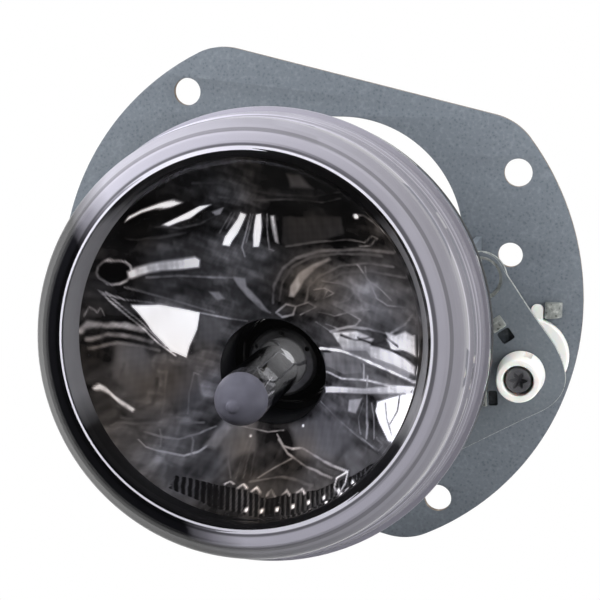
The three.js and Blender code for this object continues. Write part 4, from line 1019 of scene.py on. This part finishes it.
def bowl_maps(x, z):
    th = np.arctan2(z - BULB_Z, x)
    rr = np.hypot(x, z - BULB_Z)
    flow = waves(x + 2.5 * waves(z, x, 2), 1.6 * z + 2.0 * waves(x, z, 8), 4)
    fine = waves(3.1 * x + 3.0 * waves(z, x, 12), 3.3 * z, 9)
    rays = waves(16.0 * th + 0.05 * rr, 0.35 * rr + 3.0 * waves(x, z, 5), 31)
    # painted reflection: a mottled mirror tone with bright flows, rays and glowing patches, painted darker along the
    # top
    reflection_paint = 0.15 + 0.08 * flow + 0.025 * fine
    reflection_paint -= 0.05 * np.clip((z - 17.0) / 5.0, 0, 1)
    reflection_paint += 0.16 * np.clip(flow - 0.25, 0, 1) * np.clip(fine + 0.5, 0, 1.2)
    reflection_paint += 0.22 * np.clip(rays - 0.3, 0, 1) * np.clip((-z - 2.0) / 8.0, 0, 1) * np.clip((36.0 - rr) / 10.0, 0, 1)
    blob = np.exp(-(((x - 17.0) / 13.0) ** 2 + ((z - 9.0) / 9.0) ** 2))
    reflection_paint += 0.3 * blob * (0.7 + 0.45 * flow + 0.2 * fine)
    low = np.exp(-(((x + 18.0) / 12.0) ** 2 + ((z + 14.0) / 8.0) ** 2)) + np.exp(-(((x - 15.0) / 12.0) ** 2 + ((z + 12.0) / 8.0) ** 2))
    reflection_paint += 0.12 * low * (0.5 + 0.3 * fine + flow)
    reflection_paint = np.clip(reflection_paint, 0.03, 1.0)
    relief = np.zeros_like(x)
    r = np.hypot(x, z)
    pass
    # Ribbed band along the bottom: real ribs in the relief, with painted reflection stripes on them
    top = [(-18.1, -30.8), (-8.6, -33.1), (2.7, -34.4), (13.7, -31.8), (22.1, -27.7), (30.3, -21.7)]
    low_edge = [(-18.3, -32.4), (-8.3, -36.0), (1.3, -37.2), (9.6, -36.1), (17.7, -33.3), (25.5, -28.0)]
    ribs = inside(x, z, top + low_edge[::-1])
    wave = 0.5 + 0.5 * np.sin(2 * PI * (x + 0.45 * z) / 1.25)
    reflection_paint = np.where(ribs, 0.05 + (0.13 + 0.08 * fine) * wave ** 2, reflection_paint)
    relief = np.where(ribs, 0.12 * wave, relief)
    # each mark paints its brightness into the painted reflection and adds a shallow real relief
    for kind, value, width, pts in PAINTED_REFLECTIONS_WITH_RELIEF:
        if kind == "poly":
            d = seg_dist(x, z, pts, True)
            d = np.where(inside(x, z, pts), -d, d)
            k = soft(d, max(width, 0.3) * 1.4)
            streak = 1.0 - (0.10 if value > 0.95 else 0.4) * (0.5 + 0.5 * waves(2.6 * x, 1.3 * z, 21))
            reflection_paint = reflection_paint * (1 - k) + value * streak * k
            relief += 0.22 * soft(d, 1.4) * (1 if value > 0.5 else 0.5)
        elif kind == "line":
            d = seg_dist(x, z, pts, False)
            vary = np.clip(0.62 + 0.55 * waves(2.3 * x, 2.3 * z, 33), 0.2, 1.0)
            k = soft(d - width * 0.5 * (0.5 + 0.6 * vary), max(0.28, width * 0.7)) * vary
            reflection_paint = reflection_paint * (1 - k) + value * k
            relief += 0.12 * soft(d - width * 0.5, 0.8)
        else:
            d = np.hypot(x - pts[0][0], z - pts[0][1])
            k = soft(d - width * 0.6, 0.4)
            reflection_paint = reflection_paint * (1 - k) + value * k
            relief -= 0.25 * soft(d - width * 0.6, 0.8)
    return np.clip(reflection_paint, 0.02, 1.0), relief


def reflector_piece():
    NA, NT = 640, 150
    a = np.linspace(0, 2 * PI, NA, endpoint=False)
    t = np.linspace(1, 0, NT)
    T, A = np.meshgrid(t, a, indexing="ij")
    P = bowl(T, A)
    N = bowl_normal(T, A)
    reflection_paint, relief = bowl_maps(P[..., 0], P[..., 2])
    edge = np.clip(np.minimum(T, 1 - T) * 9, 0, 1)
    off = 0.3 - edge * relief
    off[-1] = 0.0
    P = P + N * off[..., None]

    def L(r, s):
        return LENS_O + AX * s + r * np.cos(a)[:, None] * np.array([1.0, 0, 0]) + r * np.sin(a)[:, None] * AV

    def Y(r, y):
        return np.stack([r * np.cos(a), np.full_like(a, y), BULB_Z + r * np.sin(a)], -1)

    front = [L(41.6, RIM_S + 0.02), L(41.3, RIM_S - 0.05), L(40.4, RIM_S - 0.05)]
    rear = [Y(HOLE_R - 0.1, HOLE_Y + 0.25), Y(HOLE_R, HOLE_Y + 0.7), Y(HOLE_R, -35), Y(HOLE_R, -28.6), Y(HOLE_R + 1.6, -28.6), Y(HOLE_R + 1.6, -38.2)]
    for k in range(1, 6):
        tt = np.full_like(a, k / 6.4)
        rear.append(bowl(tt, a) + 2.1 * bowl_normal(tt, a))
    rear += [L(39.2, 4.2), L(42.6, -3.2), L(45.3, -3.2), L(45.3, -1.8), L(44.1, -1.8)]
    rings = front + [P[k] for k in range(NT)] + rear
    V = np.concatenate(rings)
    m = len(rings)
    k = np.arange(m)[:, None] * NA
    k2 = (np.arange(1, m + 1) % m)[:, None] * NA
    i = np.arange(NA)[None, :]
    j = (i + 1) % NA
    F = np.stack([k + i, k + j, k2 + j, k2 + i], -1).reshape(-1, 4)
    # face direction from the enclosed volume
    c = V.mean(0)
    q = V[F] - c
    vol = np.einsum("ij,ij->i", q[:, 0], np.cross(q[:, 1], q[:, 2])).sum() + np.einsum("ij,ij->i", q[:, 0], np.cross(q[:, 2], q[:, 3])).sum()
    if vol < 0:
        F = F[:, ::-1]
    me = bpy.data.meshes.new("reflector_bowl")
    me.from_pydata((V * MM).tolist(), [], F.tolist())
    # the painted reflection is stored on the bowl's points for the mirror material
    at = me.attributes.new("reflection_paint", "FLOAT", "POINT")
    vals = np.full(len(V), 0.12, np.float32)
    vals[3 * NA:(3 + NT) * NA] = reflection_paint.reshape(-1)
    at.data.foreach_set("value", vals)
    nf = NA
    index = np.zeros(len(me.polygons), np.int32)
    ring_of = np.repeat(np.arange(m), NA)
    index[(ring_of >= 3 + NT - 1) & (ring_of < 3 + NT + 3)] = 1
    index[ring_of >= 3 + NT + 3] = 2
    ob = finish_mesh("reflector_bowl", me, "lamp", "mirror_bowl", [M_PAINTED_REFLECTION_MIRROR, M_TUBE, M_PAINTED_SHADE_TRIM], 50)
    me.polygons.foreach_set("material_index", index)
    me.update()
    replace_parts(ob, "reflector")


reflector_piece()

# ---------------------------------------------------------------- adjuster
nut = mesh_of(*turned(rounded([(2.62, -2.4), (9.1, -2.4), (9.6, -1.9), (9.6, -0.3), (5.0, -0.3), (5.0, 2.2), (5.6, 2.6), (4.9, 6.6), (4.3, 8.4), (2.62, 8.4)], 0.3, 3), 72, adj_pt))
tongue = flat_mesh([rounded([(54.6, -6.0), (57.6, -6.0), (57.6, 0.6), (54.6, 0.6)], [0.1, 0.1, 1.3, 1.3], 5)], -1.9, -0.35, 0.2, "Y", 2)
nut = combine(nut, [("UNION", tongue), ("DIFFERENCE", tool_cyl(2.62, -4, 10, *ADJ))])
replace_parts(finish_mesh("nut_piece", nut, "bracket", "white_nylon", M_NYLON, 32), "adjuster_nut")

bush = mesh_of(*turned(rounded([(3.55, -28.4), (4.8, -28.4), (5.1, -28.1), (5.6, -21.6), (5.5, -21.0), (4.4, -21.0), (4.4, -19.0), (5.2, -18.9), (4.6, -17.4), (2.7, -17.4), (2.7, -22.2), (3.55, -22.2)], [0.35, 0.3, 0.3, 0.5, 0.2, 0.2, 0.2, 0.3, 0.3, 0.2, 0.1, 0.1], 4), 96, adj_pt))
bush = combine(bush, [("DIFFERENCE", tool_box(ADJ[0] + 0.9, ADJ[0] + 2.7, -25.4, -21.9, ADJ[1] + 3.75, ADJ[1] + 6.4, 0.25, math.radians(-20)))])
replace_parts(finish_mesh("bush_piece", bush, "adjuster_carrier", "white_nylon", M_NYLON, 32), "adjuster_bush")

# Screw with a real helical thread and a star socket
def screw_piece():
    n = 48
    head = [(0.0, -26.0), (1.0, -26.2), (1.9, -27.0), (2.1, -27.85), (2.6, -27.9), (2.9, -27.6), (2.9, -22.9), (3.0, -22.6), (2.4, -22.5), (2.4, -5.0)]
    rings = []
    for r, y in head[1:]:
        ring = []
        for i in range(n):
            a = 2 * PI * i / n
            rr = r
            if y < -25.9 and r < 2.2:  # the socket: six rounded lobes
                rr = r * (0.80 + 0.20 * math.cos(6 * a))
            ring.append(adj_pt(rr, y, a))
        rings.append(ring)
    steps = 150
    for k in range(steps + 1):
        y = -4.6 + 15.8 * k / steps
        fade = min(1.0, k / 8, (steps - k) / 8)
        ring = []
        for i in range(n):
            a = 2 * PI * i / n
            ph = ((y - (-4.6)) / 1.5 + a / (2 * PI)) % 1.0
            tri = 1 - abs(2 * ph - 1)
            ring.append(adj_pt(2.08 + 0.42 * fade * min(1.0, tri * 1.25), y, a))
        rings.append(ring)
    rings.append([adj_pt(1.6, 12.3, 2 * PI * i / n) for i in range(n)])
    v, f = skin(rings, (adj_pt(0, -25.9, 0), adj_pt(0, 12.4, 0)))
    ob = new_object("screw_piece", v, f, "screw", "screw_steel", M_SCREW, 40)
    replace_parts(ob, "adjuster_screw")


screw_piece()
clip = mesh_of(*turned(rounded([(2.5, -16.9), (4.3, -16.9), (4.3, -16.1), (2.5, -16.1)], 0.2, 3), 48, adj_pt))
clip = combine(clip, [("DIFFERENCE", tool_box(ADJ[0] - 0.9, ADJ[0] + 0.9, -18, -15, ADJ[1], ADJ[1] + 6, 0.3))])
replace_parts(finish_mesh("screw_clip_piece", clip, "screw", "zinc_hardware", M_ZINC, 30), "screw_clip")

# ---------------------------------------------------------------- bulb
BULB_OUT = [(0, -74.6), (0.8, -74.5), (1.3, -73.9), (1.6, -73.3), (3.1, -72.6), (4.5, -70.8), (5.4, -68.4), (5.75, -65.4), (5.75, -30.2)]
BULB_IN = [(4.75, -30.2), (4.75, -65.2), (4.3, -67.8), (3.3, -69.9), (1.9, -71.2), (0, -71.7)]


def bulb_glass_piece():
    out = smooth_path([(0.45, -74.6), (1.0, -74.3), (1.25, -73.7), (1.5, -73.25), (2.2, -72.95), (3.1, -72.35), (3.7, -71.75), (4.15, -71.1), (4.75, -70.1), (5.3, -68.7), (5.65, -67.0), (5.75, -65.4)], n=4)
    prof = [(0, -74.65)] + out
    for y in (-60, -50, -40, -33):
        prof.append((5.75, y))
    prof += [(5.75, -30.4), (5.6, -30.2), (4.9, -30.2), (4.75, -30.4)]
    for y in (-40, -50, -60):
        prof.append((4.75, y))
    prof += smooth_path([(4.75, -65.2), (4.6, -66.6), (4.3, -67.8), (3.3, -69.9), (1.9, -71.2), (0.5, -71.65)], n=4)
    prof.append((0, -71.7))
    v, f = turned(prof, 96, bulb_pt)

    def pick(c, n):
        r = math.hypot(c[0], c[2] - BULB_Z)
        outer = r > 4.9 + 0.0 if c[1] > -65.4 else (n.y < 0.2 and (r > 4.7 or c[1] < -71.8 or n.y < -0.05))
        return 1 if c[1] < -66.2 and outer else 0

    ob = new_object("bulb_envelope", v, f, "bulb", "bulb_glass", [M_BULB, M_TIP], 40, pick=pick)
    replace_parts(ob, "bulb_glass")


bulb_glass_piece()


def tube(name, pts, r, body, slot, mat, node, n=14, dense=8):
    """A wire of round section along 3-D points, its ends closed."""
    P = []
    Q = [np.array(p, float) for p in pts]
    m = len(Q)
    for i in range(m - 1):
        p0, p1, p2, p3 = Q[max(0, i - 1)], Q[i], Q[i + 1], Q[min(m - 1, i + 2)]
        for k in range(dense):
            t = k / dense
            P.append(0.5 * ((2 * p1) + (p2 - p0) * t + (2 * p0 - 5 * p1 + 4 * p2 - p3) * t * t + (3 * p1 - p0 - 3 * p2 + p3) * t ** 3))
    P.append(Q[-1])
    rings = []
    up = None
    for i, p in enumerate(P):
        d = P[min(i + 1, len(P) - 1)] - P[max(i - 1, 0)]
        d /= np.linalg.norm(d)
        if up is None:
            up = np.cross(d, [1.0, 0.3, 0.2])
        up = up - d * (up @ d)
        up /= np.linalg.norm(up)
        w = np.cross(d, up)
        rings.append([p + r * (math.cos(2 * PI * k / n) * up + math.sin(2 * PI * k / n) * w) for k in range(n)])
    v, f = skin(rings, (P[0], P[-1]))
    ob = new_object(name, v, f, body, slot, mat, 50)
    if node:
        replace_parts(ob, node)
    return ob


B = BULB_Z
coil = []
for i in range(8 * 12 + 1):
    a = (i / 12) * 2 * PI
    coil.append((0.75 * math.cos(a), -58 + 4.6 * i / 96, B + 0.75 * math.sin(a)))
tube("filament_coil", coil, 0.14, "bulb", "tungsten", M_TUNGSTEN, "filament", 8, 2)
tube("wire_long", [(-2.6, -28, B + 1), (-2.6, -50, B + 1), (-2.6, -59.0, B + 0.95), (-1.9, -60.3, B + 0.6), (-0.6, -60.5, B + 0.1), (0, -59.9, B), (0, -59.0, B)], 0.28, "bulb", "support_wire", M_WIRE, "filament_wire_long")
tube("wire_short", [(2.2, -28, B - 1), (2.2, -46, B - 0.9), (1.9, -49.6, B - 0.7), (0.7, -51.4, B - 0.2), (0, -52.1, B), (0, -52.6, B)], 0.28, "bulb", "support_wire", M_WIRE, "filament_wire_short")

base = mesh_of(*turned(rounded([(6.05, -32.2), (7.3, -32.2), (8.0, -31.6), (8.0, -28.9), (6.5, -28.9), (6.5, -13.5), (5.5, -13.5), (5.5, -29.6), (6.05, -29.6)], 0.25, 3), 80, bulb_pt))
cuts = []
for d in (30, 150, 270, 90):
    a = math.radians(d)
    cuts.append(("DIFFERENCE", tool_cyl(0.6, -33, -30.9, 7.0 * math.cos(a), B + 7.0 * math.sin(a), n=24)))
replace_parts(finish_mesh("bulb_cup", combine(base, cuts), "bulb", "bulb_metal", M_BASE, 32), "bulb_base")

collar = mesh_of(*turned(rounded([(6.9, -28.4), (9.2, -28.4), (10.3, -26.6), (10.3, -10.8), (6.9, -10.8)], 0.4, 3), 80, bulb_pt))
lugs = []
for d in (45, 165, 285):
    a = math.radians(d)
    cx, cz = 11 * math.cos(a), B + 11 * math.sin(a)
    lugs.append(("UNION", tool_box(cx - 1.5, cx + 1.5, -19.4, -17.2, cz - 2, cz + 2, 0.4, a)))
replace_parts(finish_mesh("bulb_collar_piece", combine(collar, lugs), "bulb", "black_housing", M_HOUSING, 32), "bulb_collar")
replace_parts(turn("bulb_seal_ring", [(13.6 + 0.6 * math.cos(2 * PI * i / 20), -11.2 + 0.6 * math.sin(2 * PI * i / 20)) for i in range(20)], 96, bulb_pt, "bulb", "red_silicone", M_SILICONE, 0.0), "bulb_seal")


def body_piece():
    me = mesh_of(*turned(rounded([(0, -10.4), (15.4, -10.4), (15.8, -9.8), (15.8, -8.4), (13.4, -8.0), (12.8, -2.4), (11.6, -1.4), (0, -1.4)], [0, 0.3, 0.3, 0.4, 0.6, 0.8, 0.8, 0], 4, closed=False), 96, bulb_pt))
    parts = [("UNION", flat_mesh([rounded([(-10.6, -38), (10.6, -38), (10.6, B + 7), (-10.6, B + 7)], [1.0, 1.0, 3.0, 3.0], 8)], -8, 6.4, 0.8, "Y", 4))]
    # grip ribs on the round back, and a key rib and latch on the shroud
    for x in (-6.0, -3.0, 0.0, 3.0, 6.0):
        parts.append(("UNION", tool_box(x - 0.5, x + 0.5, 5.9, 6.95, -16.5, B + 4.2, 0.45)))
    parts.append(("UNION", flat_mesh([rounded([(6.0, -30), (6.6, -30), (8.2, -24.6), (8.2, -24), (6.0, -24)], 0.25, 3)], -3.2, 3.2, 0.25, "X", 2)))
    for side in (-1, 1):
        parts.append(("UNION", tool_box(side * 10.95 - 0.55, side * 10.95 + 0.55, -3.0, 0.6, -36.4, -21, 0.4)))
    parts.append(("DIFFERENCE", flat_mesh([rounded([(-8.9, -40), (8.9, -40), (8.9, -21), (-8.9, -21)], 0.8, 4)], -6.2, 4.6, 0.5, "Y", 2)))
    for x in (-3.6, 3.6):
        parts.append(("DIFFERENCE", tool_box(x - 1.7, x + 1.7, -1.4, 0.2, -22, -14, 0.2)))
    me = combine(me, parts)
    ob = finish_mesh("bulb_connector_body", me, "bulb", "black_housing", M_HOUSING, 32)
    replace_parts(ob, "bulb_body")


body_piece()

for x, nm in ((-3.6, "a"), (3.6, "b")):
    me = flat_mesh([rounded([(x - 1.3, -30), (x + 1.3, -30), (x + 1.3, -14.4), (x - 1.3, -14.4)], [0.9, 0.9, 0.2, 0.2], 4)], -1.0, -0.2, 0.15, "Y", 2)
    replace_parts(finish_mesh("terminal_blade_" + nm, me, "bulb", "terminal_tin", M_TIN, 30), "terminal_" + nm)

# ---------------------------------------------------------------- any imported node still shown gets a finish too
for name, ob in NODES.items():
    if not ob.hide_render:
        mats = {"mounting_plate": M_PLATE, "tilt_frame": M_FRAME}
        ob.data.materials.clear()
        ob.data.materials.append(mats.get(name, M_ZINC))

# ---------------------------------------------------------------- floor, world, lights, camera
FLOOR_Z = float(cad_lo.z) - 0.0002


def floor_piece():
    m = Mat("floor_paper", Roughness=0.9)
    n = m.noise(30.0, 2.0, 0.5)
    m.color(m.ramp(n, [(0.3, (0.9, 0.9, 0.9)), (0.7, (0.92, 0.92, 0.92))]))
    em = m.node("ShaderNodeEmission", Strength=1.0)
    em.inputs["Color"].default_value = (1, 1, 1, 1)
    lp = m.nt.nodes.new("ShaderNodeLightPath")
    mix = m.nt.nodes.new("ShaderNodeMixShader")
    m.link(lp.outputs["Is Camera Ray"], mix.inputs[0])
    m.link(m.b.outputs[0], mix.inputs[1])
    m.link(em.outputs[0], mix.inputs[2])
    m.link(mix.outputs[0], m.out.inputs["Surface"])
    me = bpy.data.meshes.new("floor")
    bm = bmesh.new()
    bmesh.ops.create_grid(bm, x_segments=8, y_segments=8, size=1.6)
    bm.to_mesh(me)
    bm.free()
    ob = bpy.data.objects.new("floor", me)
    ob.location.z = FLOOR_Z
    me.materials.append(m.m)
    scene.collection.objects.link(ob)
    ob.visible_glossy = False
    ob.visible_transmission = False


floor_piece()

world = bpy.data.worlds.new("studio")
scene.world = world
world.use_nodes = True
wn = world.node_tree
wn.nodes.clear()
w_out = wn.nodes.new("ShaderNodeOutputWorld")
w_white = wn.nodes.new("ShaderNodeBackground")
w_white.inputs["Color"].default_value = (1, 1, 1, 1)
w_room = wn.nodes.new("ShaderNodeBackground")
w_tc = wn.nodes.new("ShaderNodeTexCoord")
w_sep = wn.nodes.new("ShaderNodeSeparateXYZ")
w_map = wn.nodes.new("ShaderNodeMapRange")
w_map.inputs["From Min"].default_value = -0.35
w_map.inputs["From Max"].default_value = 0.55
w_map.inputs["To Min"].default_value = 0.02
w_map.inputs["To Max"].default_value = 1.1
w_map.interpolation_type = "SMOOTHSTEP"
w_up = wn.nodes.new("ShaderNodeMapRange")
w_up.inputs["From Min"].default_value = 0.55
w_up.inputs["From Max"].default_value = 0.95
w_up.inputs["To Min"].default_value = 0.02
w_up.inputs["To Max"].default_value = 0.1
w_up.interpolation_type = "SMOOTHSTEP"
w_max = wn.nodes.new("ShaderNodeMath")
w_max.operation = "MAXIMUM"
wn.links.new(w_tc.outputs["Generated"], w_sep.inputs[0])
wn.links.new(w_sep.outputs["Y"], w_map.inputs["Value"])
wn.links.new(w_sep.outputs["Z"], w_up.inputs["Value"])
wn.links.new(w_map.outputs[0], w_max.inputs[0])
wn.links.new(w_up.outputs[0], w_max.inputs[1])
wn.links.new(w_max.outputs[0], w_room.inputs["Strength"])
w_lp = wn.nodes.new("ShaderNodeLightPath")
w_mix = wn.nodes.new("ShaderNodeMixShader")
wn.links.new(w_lp.outputs["Is Camera Ray"], w_mix.inputs[0])
wn.links.new(w_room.outputs[0], w_mix.inputs[1])
wn.links.new(w_white.outputs[0], w_mix.inputs[2])
wn.links.new(w_mix.outputs[0], w_out.inputs[0])


def softbox(name, at, size, power, aim=(0, 0, 0)):
    d = bpy.data.lights.new(name, "AREA")
    d.shape = "RECTANGLE"
    d.size, d.size_y = size
    d.energy = power
    o = bpy.data.objects.new(name, d)
    o.location = at
    o.rotation_euler = (Vector(aim) - Vector(at)).to_track_quat("-Z", "Y").to_euler()
    scene.collection.objects.link(o)
    return o


for args in (
    ("key", (-0.6, -0.5, 0.45), (0.5, 0.6), 9.0),
    ("fill", (0.65, -0.5, 0.2), (0.4, 0.6), 5.0),
    ("top", (0.05, -0.1, 0.8), (0.9, 0.6), 7.0),
):
    lamp = softbox(*args)
    lamp.visible_glossy = False
    lamp.visible_transmission = False

cam_data = bpy.data.cameras.new("camera")
cam_data.lens = 96
cam_data.sensor_width = 36
cam_data.clip_start = 0.01
cam = bpy.data.objects.new("camera", cam_data)
scene.collection.objects.link(cam)
az, el, dist = math.radians(13.5), math.radians(11.0), 0.403
target = Vector((-0.0034, 0.0, -0.0012))
back = Vector((math.sin(az) * math.cos(el), -math.cos(az) * math.cos(el), math.sin(el)))
cam.location = target + back * dist
cam.rotation_euler = (-back).to_track_quat("-Z", "Y").to_euler()
scene.camera = cam
scene.view_settings.view_transform = "Standard"
scene.view_settings.look = "None"
